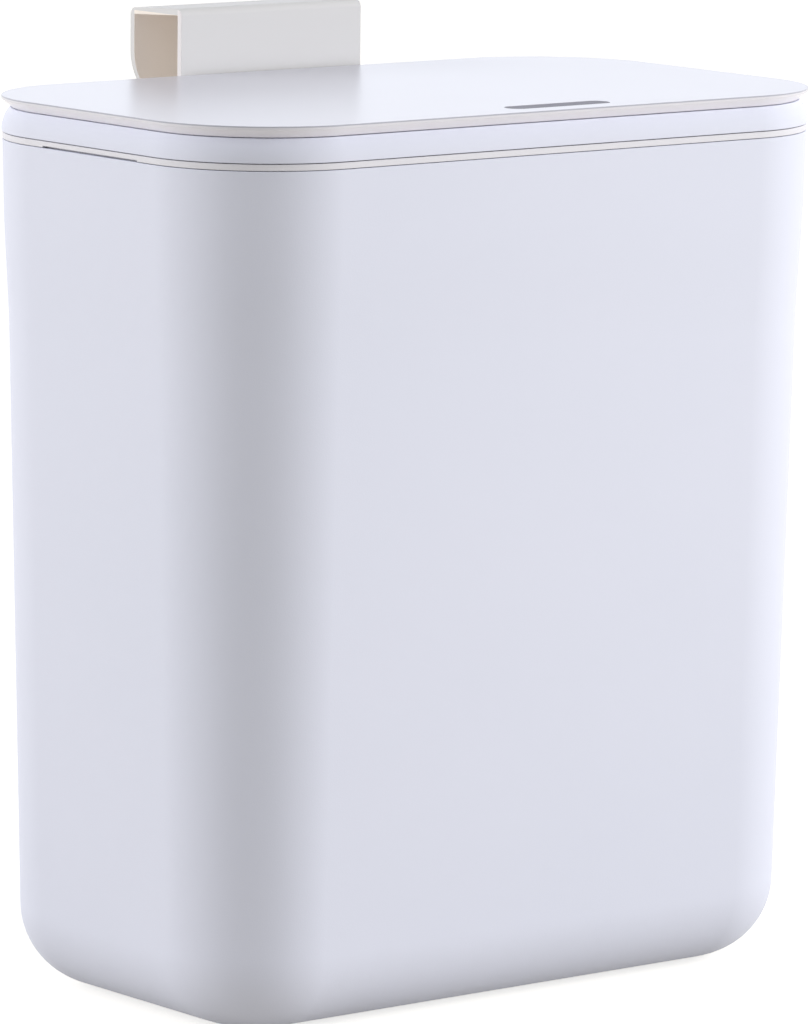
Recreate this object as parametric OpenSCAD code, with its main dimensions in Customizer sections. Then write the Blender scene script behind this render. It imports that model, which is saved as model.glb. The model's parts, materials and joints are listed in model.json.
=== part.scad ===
// Door-hung kitchen waste bin: tapered bucket, bag ring, top frame, sprung flap lid with a
// push button, and an over-door hook that the bin lifts off.
// Millimetres. X runs along the long side, the front faces -Y, the door side is +Y, +Z is up.

/* [Overall size] */
// length of the lid over its longest sides
body_length = 250; // [200:1:320]
// depth of the lid, front to back
body_depth = 148.8; // [120:0.1:200]
// height of the bucket's rim above the floor
rim_height = 268.95; // [230:0.05:320]
// corner radius of the lid seen from above
corner_radius = 41.6; // [38:0.1:55]

/* [Bucket] */
// how far the bucket's rim sits inside the lid's outline
rim_inset = 0.4; // [0.2:0.05:2]
// slope of the bucket's wall, sideways per mm of height
wall_draft = 0.0217; // [0:0.0001:0.04]
// extra outward flare of the wall's top
wall_flare = 1; // [0:0.1:1.5]
// depth below the rim where the flare ends at its top
flare_start = 20; // [10:1:30]
// depth below the rim where the flare begins from the plain wall
flare_end = 62; // [45:1:90]
// thickness of the bucket's wall and floor
bucket_wall = 2; // [1.6:0.1:3]
// radius of the rounded bottom edge
base_round = 26; // [15:1:30]

/* [Bag ring] */
// how far the ring's band sits inside the lid's outline
ring_inset = 0.4; // [0.2:0.05:2]
// height of the band
ring_height = 1.85; // [1.5:0.05:4]
// free height left for the bag's folded edge, and between stacked pieces
stack_gap = 0.3; // [0.2:0.05:0.5]
// thickness of the ring's skirt
ring_skirt = 1.6; // [1.2:0.1:2.5]
// how far the skirt hangs into the bucket
ring_skirt_depth = 18.5; // [10:0.5:40]
// free width between the skirt and the bucket's wall, for the bag
bag_space = 0.95; // [0.6:0.05:2]
// how much narrower the skirt is at its lower edge, on each side
ring_taper = 0.25; // [0:0.05:1]
// bevel on the band's outer edges
edge_bevel = 0.3; // [0.1:0.05:0.5]
// length of the notch that lets a finger nail lift the ring
pry_length = 49; // [20:1:60]
// height of that notch
pry_height = 0.5; // [0.3:0.1:1]

/* [Top frame] */
// how far the frame's outer face sits inside the lid's outline
frame_inset = 0.1; // [0:0.05:1]
// height of the upright outer face
frame_face = 0.5; // [0.4:0.1:2]
// radius of the rounded shoulder
shoulder_radius = 10; // [9:0.1:12]
// height of the frame's deck above its own lower edge
deck_rise = 7.3; // [6:0.1:10]
// how far the deck's inner edge sits inside the lid's outline
deck_inner = 6.2; // [5.5:0.1:8]
// drop from the deck to the ledge that the lid's tray closes onto
ledge_drop = 2.6; // [2:0.1:4]
// how far the mouth sits inside the lid's outline
mouth_inset = 14.2; // [13:0.1:18]
// thickness of the frame's skirts
frame_skirt = 1.6; // [1.2:0.1:2.2]
// how far the frame's skirts hang below its outer edge
skirt_drop = 6.8; // [5:0.1:12]
// how far the outer face of the locating skirt sits inside the lid's outline
locator_inset = 5.5; // [5:0.1:6.5]
// thickness left above the hollows in the frame's underside
frame_roof = 2; // [1.5:0.1:2.5]
// thickness of the frame's outer wall beside its hollow
frame_wall = 2.8; // [2.4:0.1:3]
// how far a hollow stays clear of the skirts
hollow_margin = 0.2; // [0.1:0.1:0.5]

/* [Lid] */
// height of the lid's top face above the frame's deck
lid_rise = 3.9; // [3.4:0.1:6]
// thickness of the lid's plate
lid_plate_thickness = 2.2; // [1.8:0.1:3]
// height of the upright edge face
lid_edge_face = 0.8; // [0.5:0.1:2]
// rounding of the top edge
lid_edge_round = 0.3; // [0.2:0.1:0.8]
// how far the lid's lower rim sits inside its outline
lid_rim_inset = 3.2; // [2:0.1:4]
// thickness of the lower rim
lid_rim_thickness = 1.5; // [1.2:0.1:2.5]
// widest opening angle
lid_open_angle = 80; // [60:1:84]
// thickness of the tray's floor and wall under the lid
tray_wall = 1.4; // [1.2:0.1:2]
// clearance of moving pieces that do not bear on each other
free_gap = 0.4; // [0.3:0.05:0.6]
// height of the soft bumpers between the frame's ledge and the lid's tray
bumper_height = 1; // [0.8:0.1:1.2]
// radius of a bumper
bumper_radius = 2.6; // [2:0.1:3]
// radius of the stem that holds a bumper in the tray
bumper_stem = 1.5; // [1:0.1:1.8]
// how far the stem stands above the tray's floor
stem_top = 0.6; // [0.4:0.1:1]
// radius of the bosses that take the tray's screws
boss_r = 3; // [2.5:0.1:4]

/* [Hinge] */
// distance of the hinge axis in front of the lid's rear edge
hinge_setback = 5; // [4.8:0.1:6]
// depth of the hinge axis below the lid's top
hinge_drop = 3.4; // [3.2:0.1:3.6]
// radius of the hinge pin
pin_radius = 1; // [0.8:0.05:1.2]
// radial running clearance of the lid on the pin
pin_clearance = 0.05; // [0.02:0.01:0.1]
// middle of each hinge ear from the bin's middle
ear_place = 66; // [50:1:75]
// width of a hinge ear
ear_width = 8; // [5:0.5:12]
// wall around the pin in a hinge ear
ear_wall = 1.1; // [0.9:0.1:1.3]
// how deep an ear's root goes into the bottom of the trough
ear_root = 0.6; // [0.4:0.1:1]
// distance from the end of the lid's round heel to the lid's short side
heel_setback = 22; // [20:1:35]
// room between the heel's end and the end of its trough
heel_play = 3; // [1:0.5:4]
// radius of the lid's round heel
heel_radius = 5.7; // [5.2:0.1:6]
// radius of the trough that the heel turns in
trough_radius = 6.4; // [6:0.1:6.6]
// wire diameter of the lid springs
lid_spring_wire = 0.7; // [0.5:0.05:0.8]
// number of coils of a lid spring
lid_spring_coils = 16; // [8:1:20]
// radial play of a lid spring on its pin
spring_play = 0.25; // [0.2:0.05:0.35]
// distance between a hinge ear and its spring
spring_setback = 1.9; // [1.5:0.1:3]
// length of the wire's end that lifts the heel
spring_lever = 4.6; // [4:0.1:5]
// how far a hinge pin reaches into the heel beyond its ear
pin_reach = 8; // [5:0.5:12]
// how far a hinge pin reaches beyond its spring
pin_stub = 1; // [0.5:0.1:3]

/* [Push button and latch] */
// sideways place of the button from the bin's middle
button_x = 9; // [-20:0.5:20]
// distance of the button's middle behind the lid's front edge
button_setback = 12.2; // [11:0.1:14]
// length of the button
button_length = 39.5; // [30:0.5:50]
// width of the button
button_width = 8; // [6:0.1:9]
// gap around the button in the lid
button_gap = 0.3; // [0.2:0.05:0.5]
// how far the plunger's flange reaches beyond the button
flange_rim = 1; // [0.8:0.1:1.4]
// thickness of that flange
flange_thickness = 1.2; // [1:0.1:1.4]
// room around the flange in the lid's tray
flange_play = 0.6; // [0.4:0.1:1]
// how far the button travels when pressed
press_travel = 2.2; // [1.8:0.1:2.4]
// half width of the sliding latch
latch_half = 7; // [5:0.5:9]
// height of the sliding latch
latch_height = 3.4; // [3:0.1:5]
// depth of the latch's top face below the frame's deck
latch_drop = 8.1; // [7.5:0.1:9]
// reach of the latch's nose into the frame's skirt
latch_reach = 1.8; // [1.2:0.1:2.5]
// length of the solid nose in front of the latch's window
nose_length = 2.5; // [2:0.1:4]
// length of the latch behind the plunger's leg
latch_tail = 10; // [6:0.5:14]
// length of the latch spring at rest
latch_spring_length = 13.4; // [10:0.1:18]
// length of the peg that the latch spring sits on
peg_length = 3; // [2:0.5:5]
// half width of the plunger's leg
leg_half = 4; // [3:0.1:5]
// depth of the plunger's leg, front to back
leg_depth = 5; // [4:0.1:7]
// flat at the tip of the leg
leg_flat = 1.2; // [0.8:0.1:2]
// how far the leg's tip reaches into the latch at rest
leg_entry = 1.2; // [1:0.1:1.2]
// gap between the plunger's slope and the latch's slope
cam_gap = 0.1; // [0.05:0.01:0.2]
// wall of the latch housing
housing_wall = 1.8; // [1.4:0.1:2.5]
// gap between the frame's mouth and the latch housing
housing_gap = 1.2; // [0.8:0.1:2]
// thickness of the latch's cover
cover_thickness = 1.5; // [1.2:0.1:2.5]
// length of the screw bosses behind the housing
boss_length = 7; // [6:0.5:10]
// half distance between the cover's screws
cover_screw_x = 5; // [4:0.5:6]
// wire diameter of the latch spring
latch_spring_wire = 0.5; // [0.3:0.05:0.6]
// number of coils of the latch spring
latch_spring_coils = 12; // [8:1:16]
// radius of the latch spring to the wire's middle
latch_spring_radius = 1.3; // [1.1:0.05:1.4]

/* [Over-door hook] */
// width of the hook
hook_width = 73; // [50:1:90]
// sideways place of the hook's middle
hook_x = 3.3; // [-5:0.1:5]
// outer depth of the hook over the door
hook_depth = 27.7; // [22:0.1:40]
// thickness of the hook's walls
hook_wall = 2.2; // [1.8:0.1:3.5]
// gap between the lid's rear edge and the hook
hook_clearance = 1.4; // [1.2:0.1:4]
// height of the hook above the lid
hook_rise = 21.2; // [15:0.1:40]
// how much lower the top of the hook is at its back edge
hook_fall = 1.2; // [0:0.1:3]
// radius of the hook's bends on their inner side
hook_bend_inside = 0.3; // [0.2:0.1:1]
// height over which the hook's back plate hangs behind the door
hook_drop = 35; // [30:1:60]
// corner radius of the back plate
hook_corner = 20; // [8:1:22]
// length of the hook's leg below the bin's lid
hook_leg = 81; // [60:1:120]
// how much wider the leg's foot is on each side
foot_ear = 4.5; // [3:0.5:6]
// height of the leg's foot
foot_height = 55; // [30:1:80]

/* [Hook socket] */
// clearance of the hook's foot in the socket
socket_gap = 0.3; // [0.2:0.05:0.5]
// thickness of the rails beside the foot
rail_wall = 3; // [2:0.1:5]
// gap between the rails' lips and the hook's leg
lip_gap = 0.7; // [0.5:0.1:1.5]
// thickness of the rails' lips
lip_thickness = 1.9; // [1.5:0.1:3]
// thickness of the caps that close the rails above the foot
cap_thickness = 3; // [2:0.1:5]
// how far the socket reaches below the foot
socket_below = 3; // [0:0.5:10]
// thickness of the soft pads against the door
pad_thickness = 1; // [0.6:0.1:2]
// distance of a pad from the rail's long edges
pad_side = 1; // [0.5:0.1:1.5]
// distance of a pad from the rail's ends
pad_end = 4; // [2:0.5:8]

/* [Screws] */
// sideways distance of the socket's screws from its middle
socket_screw_x = 25; // [15:1:30]
// height of the lower socket screws above the socket's lower edge
socket_screw_low = 12; // [8:1:15]
// distance between the lower and the upper socket screws
socket_screw_pitch = 18; // [12:1:25]
// shank radius of a socket screw
socket_screw_r = 1.5; // [1.2:0.1:2]
// head radius of a socket screw
socket_head_r = 3.2; // [2.8:0.1:4]
// head height of a socket screw
socket_head_height = 1.6; // [1.2:0.1:2.2]
// plastic left between a socket screw's hole and the hook
socket_skin = 0.4; // [0.3:0.1:0.8]
// shank radius of the tray's and the cover's screws
screw_r = 1.1; // [0.9:0.1:1.2]
// head radius of those screws
screw_head_r = 2.2; // [1.8:0.1:2.4]
// head height of those screws
screw_head_height = 1.2; // [1:0.1:1.6]
// how far a tray screw bites into the lid's plate
screw_bite = 1; // [0.8:0.1:1.2]
// how far a cover screw reaches into its boss
cover_screw_reach = 5.5; // [4:0.5:9]
// clearance of a screw in its through hole, and behind its tip
screw_play = 0.2; // [0.1:0.05:0.3]

/* [Hidden] */

$fn = 64;
over = 1;

// straight lengths between the corner centres, shared by every outline
half_x = body_length / 2 - corner_radius;
half_y = body_depth / 2 - corner_radius;

// colours
white = [0.90, 0.91, 0.94];
ivory = [0.88, 0.87, 0.83];
grey = [0.62, 0.62, 0.66];
steel = [0.72, 0.73, 0.75];
rubber = [0.30, 0.30, 0.31];
natural = [0.86, 0.86, 0.84];

// heights of the stacked pieces
ring_bottom = rim_height + stack_gap;
ring_top = ring_bottom + ring_height;
frame_bottom = ring_top + stack_gap;
deck_height = frame_bottom + deck_rise;
skirt_bottom = frame_bottom - skirt_drop;
ledge_height = deck_height - ledge_drop;
lid_top = deck_height + lid_rise;
latch_top = deck_height - latch_drop;
lid_underside = lid_top - lid_plate_thickness;
lid_rim_bottom = deck_height + stack_gap;
tray_bottom = ledge_height + bumper_height;
tray_top = tray_bottom + tray_wall;

// radial places, measured from a corner centre
rim_r = corner_radius - rim_inset;
frame_r = corner_radius - frame_inset;
ring_r = corner_radius - ring_inset;
mouth_r = corner_radius - mouth_inset;
step_r = corner_radius - deck_inner;
tray_r = step_r - free_gap;
locator_r = corner_radius - locator_inset;
lid_rim_r = corner_radius - lid_rim_inset;

// hinge axis
axis_y = body_depth / 2 - hinge_setback;
axis_z = lid_top - hinge_drop;
ear_r = pin_radius + ear_wall;
ear_pocket = ear_r + free_gap;
heel_half = body_length / 2 - heel_setback;
wire_r = lid_spring_wire / 2;
spring_r = pin_radius + spring_play + wire_r;
spring_length = lid_spring_coils * lid_spring_wire;
ear_in = ear_place - ear_width / 2;
ear_out = ear_place + ear_width / 2;
spring_out = ear_in - spring_setback;
spring_in = spring_out - spring_length;
pin_in = spring_in - pin_stub;
pin_out = ear_out + pin_reach;

// button and latch places
button_y = -body_depth / 2 + button_setback;
flange_top = lid_underside - stack_gap;
flange_bottom = flange_top - flange_thickness;
pressed_bottom = flange_bottom - press_travel - stack_gap;
flange_front = button_y - button_width / 2 - flange_rim;
flange_back = button_y + button_width / 2 + flange_rim;
flange_half = button_length / 2 + flange_rim;
mouth_front = -half_y - mouth_r;
housing_front = mouth_front + housing_gap;
cavity_front = housing_front + housing_wall;
leg_front = cavity_front + free_gap;
leg_back = leg_front + leg_depth;
leg_tip = latch_top - leg_entry;
cam_top = leg_tip + leg_depth - leg_flat;
latch_bottom = latch_top - latch_height;
latch_mid = latch_top - latch_height / 2;
nose_tip = mouth_front - latch_reach;
nose_back = nose_tip + nose_length;
latch_back = leg_back + latch_tail;
cavity_back = latch_back + latch_spring_length;
housing_back = cavity_back + housing_wall;
cavity_half = latch_half + free_gap;
housing_half = cavity_half + housing_wall;
cavity_top = latch_top + stack_gap;
cover_top = latch_bottom - free_gap;
cover_screw_y = housing_back + boss_length / 2;
arm_back = leg_back + flange_rim;
tray_screws_at = concat(
  [for (sx = [-1, 1], sy = [-1, 1]) [sx * (half_x + mouth_r / 3), sy * (half_y + mouth_r / 3)]],
  [for (sx = [-1, 1]) [sx * half_x / 2, half_y / 4]]);
bumpers_at = [for (sx = [-1, 1], sy = [-1, 1])
  [sx * (half_x + (mouth_r + step_r) / 2), sy * half_y * 2 / 3]];

// hook places
hook_front = body_depth / 2 + hook_clearance;
hook_back = hook_front + hook_depth;
hook_top = lid_top + hook_rise;
hook_half = hook_width / 2;
hook_bend = hook_wall + hook_bend_inside;
leg_bottom = lid_top - hook_leg;
foot_top = leg_bottom + foot_height;
foot_half = hook_half + foot_ear;
back_bottom = hook_top - hook_drop;
bend_bottom = back_bottom + hook_corner;
hook_slope = atan(hook_fall / (hook_depth - 2 * hook_bend));
hook_bends = [[hook_front + hook_bend, hook_top - hook_bend],
  [hook_back - hook_bend, hook_top - hook_bend - hook_fall]];
rail_in = foot_half + free_gap;
rail_out = rail_in + rail_wall;
lip_in = hook_half + lip_gap;
lip_front = hook_front + hook_wall + socket_gap;
lip_back = lip_front + lip_thickness;
base_back = hook_front - socket_gap;
socket_bottom = leg_bottom - socket_below;
socket_top = foot_top + socket_gap + cap_thickness;
socket_screw_z = [socket_bottom + socket_screw_low, socket_bottom + socket_screw_low + socket_screw_pitch];

// smooth rise from 0 to 1
function ease(t) = t <= 0 ? 0 : t >= 1 ? 1 : t * t * (3 - 2 * t);
// outer radius of the bucket's wall at a depth below its rim
function wall_r(depth) = corner_radius - rim_inset - wall_draft * depth
  - wall_flare * ease((depth - flare_start) / (flare_end - flare_start));
// depths at which the wall is described
wall_depths = concat([0], [for (i = [0 : 6]) flare_start + (flare_end - flare_start) * i / 6],
  [rim_height - base_round]);
base_r = wall_r(rim_height - base_round) - base_round;
function arc(cr, cz, r, from, to, steps) =
  [for (i = [0 : steps]) let (a = from + (to - from) * i / steps) [cr + r * cos(a), cz + r * sin(a)]];
// half section of a coil spring: one ridge for each turn of the wire between two plain ends
function coil_section(r, wire, pitch, coils) = concat(
  [[r - wire / 2, 0], [r + wire / 2, 0], [r + wire / 2, pitch]],
  [for (i = [1 : coils - 2], side = [0, 1])
    side == 0 ? [r, i * pitch + wire / 4] : [r + wire / 2, (i + 0.5) * pitch + wire / 4]],
  [[r, (coils - 1) * pitch - wire / 4], [r + wire / 2, (coils - 1) * pitch + wire / 4],
    [r + wire / 2, coils * pitch], [r - wire / 2, coils * pitch]]);

// a band that follows the rounded outline: a cross-section of [distance from the corner
// centre, height] is turned round the four corners and drawn along the four sides
module band(section) {
  for (sx = [-1, 1], sy = [-1, 1])
    translate([sx * half_x, sy * half_y, 0])
      rotate([0, 0, sy > 0 ? (sx > 0 ? 0 : 90) : (sx > 0 ? 270 : 180)])
        rotate_extrude(angle = 90)
          polygon(section);
  for (turn = [0, 180])
    rotate([0, 0, turn]) {
      translate([half_x, half_y, 0])
        rotate([90, 0, 0])
          linear_extrude(2 * half_y)
            polygon(section);
      translate([-half_x, half_y, 0])
        rotate([90, 0, 90])
          linear_extrude(2 * half_x)
            polygon(section);
    }
}

// flat plate with the rounded outline
module slab(r, bottom, top) {
  translate([0, 0, bottom])
    linear_extrude(top - bottom)
      union() {
        square([2 * half_x + 2 * r, 2 * half_y], center = true);
        square([2 * half_x, 2 * half_y + 2 * r], center = true);
        for (sx = [-1, 1], sy = [-1, 1])
          translate([sx * half_x, sy * half_y])
            circle(r);
      }
}

module box(low, high) {
  translate(low)
    cube(high - low);
}

// cylinder along X between two places, on a line at y, z
module rod_x(r, from, to, y, z) {
  translate([from, y, z])
    rotate([0, 90, 0])
      cylinder(r = r, h = to - from);
}

// prism along X with its section given in [y, z]
module prism_x(section, from, to) {
  translate([from, 0, 0])
    rotate([90, 0, 90])
      linear_extrude(to - from)
        polygon(section);
}

// flat shape in [x, z], drawn between two depths in Y
module panel_y(from, to) {
  translate([0, to, 0])
    rotate([90, 0, 0])
      linear_extrude(to - from)
        children();
}

function bucket_section() = concat(
  [[0, 0]],
  arc(base_r, base_round, base_round, -90, 0, 9),
  [for (i = [len(wall_depths) - 2 : -1 : 0]) [wall_r(wall_depths[i]), rim_height - wall_depths[i]]],
  [for (d = wall_depths) [wall_r(d) - bucket_wall, rim_height - d]],
  [for (i = [1 : 9]) [base_r + (base_round - bucket_wall) * cos(-10 * i),
    base_round + (base_round - bucket_wall) * sin(-10 * i)]],
  [[0, bucket_wall]]);

// depth of the bucket's rear wall at a height, on its outer face
function wall_back(z) = half_y + wall_r(rim_height - z);

module bucket() {
  color(white)
    difference() {
      union() {
        band(bucket_section());
        box([-half_x, -half_y, 0], [half_x, half_y, bucket_wall]);
      }
      for (sx = [-1, 1], z = socket_screw_z)
        translate([hook_x + sx * socket_screw_x, wall_back(z) + over, z])
          rotate([90, 0, 0])
            cylinder(r = socket_screw_r + screw_play, h = bucket_wall + 2 * over);
    }
}

// the socket's front face follows the bucket's wall
function socket_wall(top, bottom) = concat(
  [[wall_back(top), top]],
  [for (d = wall_depths) if (rim_height - d < top && rim_height - d > bottom)
    [wall_back(rim_height - d), rim_height - d]],
  [[wall_back(bottom), bottom]]);

module hook_socket() {
  color(ivory)
    difference() {
      union() {
        prism_x(concat(socket_wall(socket_top, socket_bottom),
          [[base_back, socket_bottom], [base_back, socket_top]]),
          hook_x - rail_out, hook_x + rail_out);
        for (side = [0, 1])
          translate([hook_x, 0, 0])
            mirror([side, 0, 0]) {
              box([rail_in, base_back, socket_bottom], [rail_out, lip_back, socket_top]);
              box([lip_in, lip_front, socket_bottom], [rail_in, lip_back, socket_top]);
              box([lip_in, base_back, foot_top + socket_gap], [rail_in, lip_front, socket_top]);
            }
      }
      for (sx = [-1, 1], z = socket_screw_z)
        translate([hook_x + sx * socket_screw_x, base_back - socket_skin, z])
          rotate([90, 0, 0])
            cylinder(r = socket_screw_r, h = base_back - socket_skin - wall_back(z) + over);
    }
}

// pan-head screws driven from inside the bucket; the heads bear on the sloping wall
module socket_screws() {
  color(steel)
    for (sx = [-1, 1], z = socket_screw_z) {
      head_seat = wall_back(z - socket_head_r) - bucket_wall;
      tip = base_back - socket_skin - screw_play;
      translate([hook_x + sx * socket_screw_x, head_seat, z])
        rotate([90, 0, 0])
          cylinder(r = socket_head_r, h = socket_head_height);
      translate([hook_x + sx * socket_screw_x, tip, z])
        rotate([90, 0, 0])
          cylinder(r = socket_screw_r, h = tip - head_seat + socket_head_height / 2);
    }
}

// soft strips between the socket's rails and the door
module door_pads() {
  color(rubber)
    for (side = [0, 1])
      translate([hook_x, 0, 0])
        mirror([side, 0, 0])
          box([lip_in + pad_side, lip_back, socket_bottom + pad_end],
            [rail_out - pad_side, lip_back + pad_thickness, socket_top - pad_end]);
}

// upright U in [y, z], open below, whose two bends have this radius
module hook_profile(radius, low) {
  above = radius * [sin(hook_slope), cos(hook_slope)];
  front = hook_bends[0];
  back = hook_bends[1];
  union() {
    polygon([[front[0] - radius, low], [front[0] - radius, front[1]], front + above,
      back + above, [back[0] + radius, back[1]], [back[0] + radius, low]]);
    for (bend = hook_bends)
      translate(bend)
        circle(radius);
  }
}

module hook_bracket() {
  color(ivory)
    translate([hook_x, 0, 0])
      union() {
        translate([-hook_half, 0, 0])
          rotate([90, 0, 90])
            linear_extrude(hook_width)
              difference() {
                hook_profile(hook_bend, bend_bottom);
                hook_profile(hook_bend_inside, bend_bottom - over);
              }
        panel_y(hook_back - hook_wall, hook_back)
          union() {
            for (sx = [-1, 1])
              translate([sx * (hook_half - hook_corner), bend_bottom])
                intersection() {
                  circle(hook_corner);
                  translate([sx > 0 ? 0 : -hook_corner, -hook_corner])
                    square(hook_corner);
                }
            translate([-hook_half + hook_corner, back_bottom])
              square([hook_width - 2 * hook_corner, hook_corner]);
          }
        box([-hook_half, hook_front, leg_bottom], [hook_half, hook_front + hook_wall, bend_bottom]);
        box([-foot_half, hook_front, leg_bottom], [-hook_half, hook_front + hook_wall, foot_top]);
        box([hook_half, hook_front, leg_bottom], [foot_half, hook_front + hook_wall, foot_top]);
      }
}

module bag_ring() {
  skirt_out = rim_r - bucket_wall - bag_space;
  skirt_low = ring_bottom - ring_skirt_depth;
  color(natural)
    difference() {
      band([
        [ring_r - edge_bevel, ring_bottom],
        [ring_r, ring_bottom + edge_bevel],
        [ring_r, ring_top - edge_bevel],
        [ring_r - edge_bevel, ring_top],
        [skirt_out - ring_skirt, ring_top],
        [skirt_out - ring_skirt - ring_taper, skirt_low],
        [skirt_out - ring_taper, skirt_low],
        [skirt_out, ring_bottom]
      ]);
      for (side = [0, 1])
        mirror([side, 0, 0])
          box([half_x + rim_r - bucket_wall + stack_gap, -pry_length / 2, ring_bottom - over],
            [half_x + ring_r + over, pry_length / 2, ring_bottom + pry_height]);
    }
}

function frame_section() = concat(
  [[frame_r - edge_bevel, frame_bottom], [frame_r, frame_bottom + edge_bevel]],
  arc(frame_r - shoulder_radius, frame_bottom + frame_face, shoulder_radius, 0,
    asin((deck_height - frame_bottom - frame_face) / shoulder_radius), 6),
  [
    [step_r, deck_height],
    [step_r, ledge_height],
    [mouth_r, ledge_height],
    [mouth_r, skirt_bottom],
    [mouth_r + frame_skirt, skirt_bottom],
    [mouth_r + frame_skirt, frame_bottom],
    [locator_r - frame_skirt, frame_bottom],
    [locator_r - frame_skirt, skirt_bottom],
    [locator_r, skirt_bottom],
    [locator_r, frame_bottom]
  ]);

// hollows in the frame's underside, along the front, the sides and the front corners
module frame_hollow(section) {
  for (side = [0, 1])
    mirror([side, 0, 0]) {
      translate([half_x, half_y, 0])
        rotate([90, 0, 0])
          linear_extrude(2 * half_y)
            polygon(section);
      translate([half_x, -half_y, 0])
        rotate([0, 0, 270])
          rotate_extrude(angle = 90)
            polygon(section);
    }
  translate([half_x, -half_y, 0])
    rotate([90, 0, 270])
      linear_extrude(2 * half_x)
        polygon(section);
}

module top_frame() {
  inner_in = mouth_r + frame_skirt + hollow_margin;
  inner_out = locator_r - frame_skirt - hollow_margin;
  outer_in = locator_r + hollow_margin;
  outer_out = frame_r - frame_wall;
  color(white)
    difference() {
      union() {
        difference() {
          band(frame_section());
          frame_hollow([[inner_in, frame_bottom - over], [inner_in, ledge_height - frame_roof],
            [inner_out, ledge_height - frame_roof], [inner_out, frame_bottom - over]]);
          frame_hollow([[outer_in, frame_bottom - over], [outer_in, deck_height - frame_roof],
            [outer_out, deck_height - frame_roof], [outer_out, frame_bottom - over]]);
          rod_x(trough_radius, -heel_half - heel_play, heel_half + heel_play, axis_y, axis_z);
        }
        for (side = [0, 1])
          mirror([side, 0, 0]) {
            rod_x(ear_r, ear_in, ear_out, axis_y, axis_z);
            box([ear_in, axis_y - ear_r, axis_z - trough_radius - ear_root],
              [ear_out, axis_y + ear_r, axis_z]);
          }
      }
      for (side = [0, 1])
        mirror([side, 0, 0])
          rod_x(pin_radius, ear_in - over, ear_out + over, axis_y, axis_z);
      // window for the latch's nose
      box([button_x - latch_half - flange_rim, mouth_front - frame_skirt - over, latch_bottom - stack_gap],
        [button_x + latch_half + flange_rim, mouth_front + over, latch_top + stack_gap]);
    }
}

module hinge_pins() {
  color(steel)
    for (side = [0, 1])
      mirror([side, 0, 0])
        rod_x(pin_radius, pin_in, pin_out, axis_y, axis_z);
}

// torsion spring wound round the hinge pin: one end stands in the trough beside the ear,
// the other end lifts the lid's heel
module lid_spring() {
  union() {
    translate([spring_in, axis_y, axis_z])
      rotate([0, 90, 0])
        rotate_extrude()
          polygon(coil_section(spring_r, lid_spring_wire, lid_spring_wire, lid_spring_coils));
    translate([spring_out - wire_r, axis_y + spring_r, axis_z - trough_radius + 2 * wire_r])
      cylinder(r = wire_r, h = trough_radius - 2 * wire_r);
    translate([spring_in + wire_r, axis_y, axis_z - spring_r])
      rotate([90, 0, 0])
        cylinder(r = wire_r, h = spring_lever);
  }
}

module lid_spring_right() {
  color(steel)
    lid_spring();
}

module lid_spring_left() {
  color(steel)
    mirror([1, 0, 0])
      lid_spring();
}

function lid_section() = concat(
  [[0, lid_underside], [lid_rim_r - lid_rim_thickness, lid_underside],
    [lid_rim_r - lid_rim_thickness, lid_rim_bottom], [lid_rim_r, lid_rim_bottom],
    [corner_radius, lid_top - lid_edge_round - lid_edge_face]],
  arc(corner_radius - lid_edge_round, lid_top - lid_edge_round, lid_edge_round, 0, 90, 3),
  [[0, lid_top]]);

module capsule(length, width, bottom, top) {
  translate([button_x, button_y, bottom])
    linear_extrude(top - bottom)
      union() {
        square([length - width, width], center = true);
        for (sx = [-1, 1])
          translate([sx * (length - width) / 2, 0])
            circle(width / 2);
      }
}

module lid_plate() {
  color(white)
    difference() {
      union() {
        band(lid_section());
        box([-half_x, -half_y, lid_underside], [half_x, half_y, lid_top]);
        intersection() {
          rod_x(heel_radius, -heel_half, heel_half, axis_y, axis_z);
          slab(lid_rim_r, axis_z - heel_radius - over, lid_underside + lid_plate_thickness / 4);
        }
        for (p = tray_screws_at)
          translate([p[0], p[1], tray_top])
            cylinder(r = boss_r, h = lid_underside - tray_top + lid_plate_thickness / 4);
      }
      capsule(button_length + 2 * button_gap, button_width + 2 * button_gap,
        lid_underside - over, lid_top + over);
      for (p = tray_screws_at)
        translate([p[0], p[1], tray_top - over])
          cylinder(r = screw_r, h = lid_underside - tray_top + screw_bite + screw_play + over);
      for (side = [0, 1])
        mirror([side, 0, 0]) {
          rod_x(pin_radius + pin_clearance, pin_in - stack_gap, pin_out + stack_gap, axis_y, axis_z);
          rod_x(ear_pocket, spring_in - stack_gap, ear_out + free_gap, axis_y, axis_z);
          box([spring_out - lid_spring_wire - free_gap, axis_y - ear_pocket, axis_z - trough_radius - over],
            [ear_out + free_gap, axis_y + trough_radius + over, axis_z + ear_pocket]);
          // slot for the wire's end under the heel
          box([spring_in - stack_gap, axis_y - spring_lever - free_gap,
            axis_z - spring_r - wire_r - free_gap],
            [spring_in + lid_spring_wire + free_gap, axis_y, axis_z - spring_r + wire_r + free_gap]);
        }
    }
}

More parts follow.
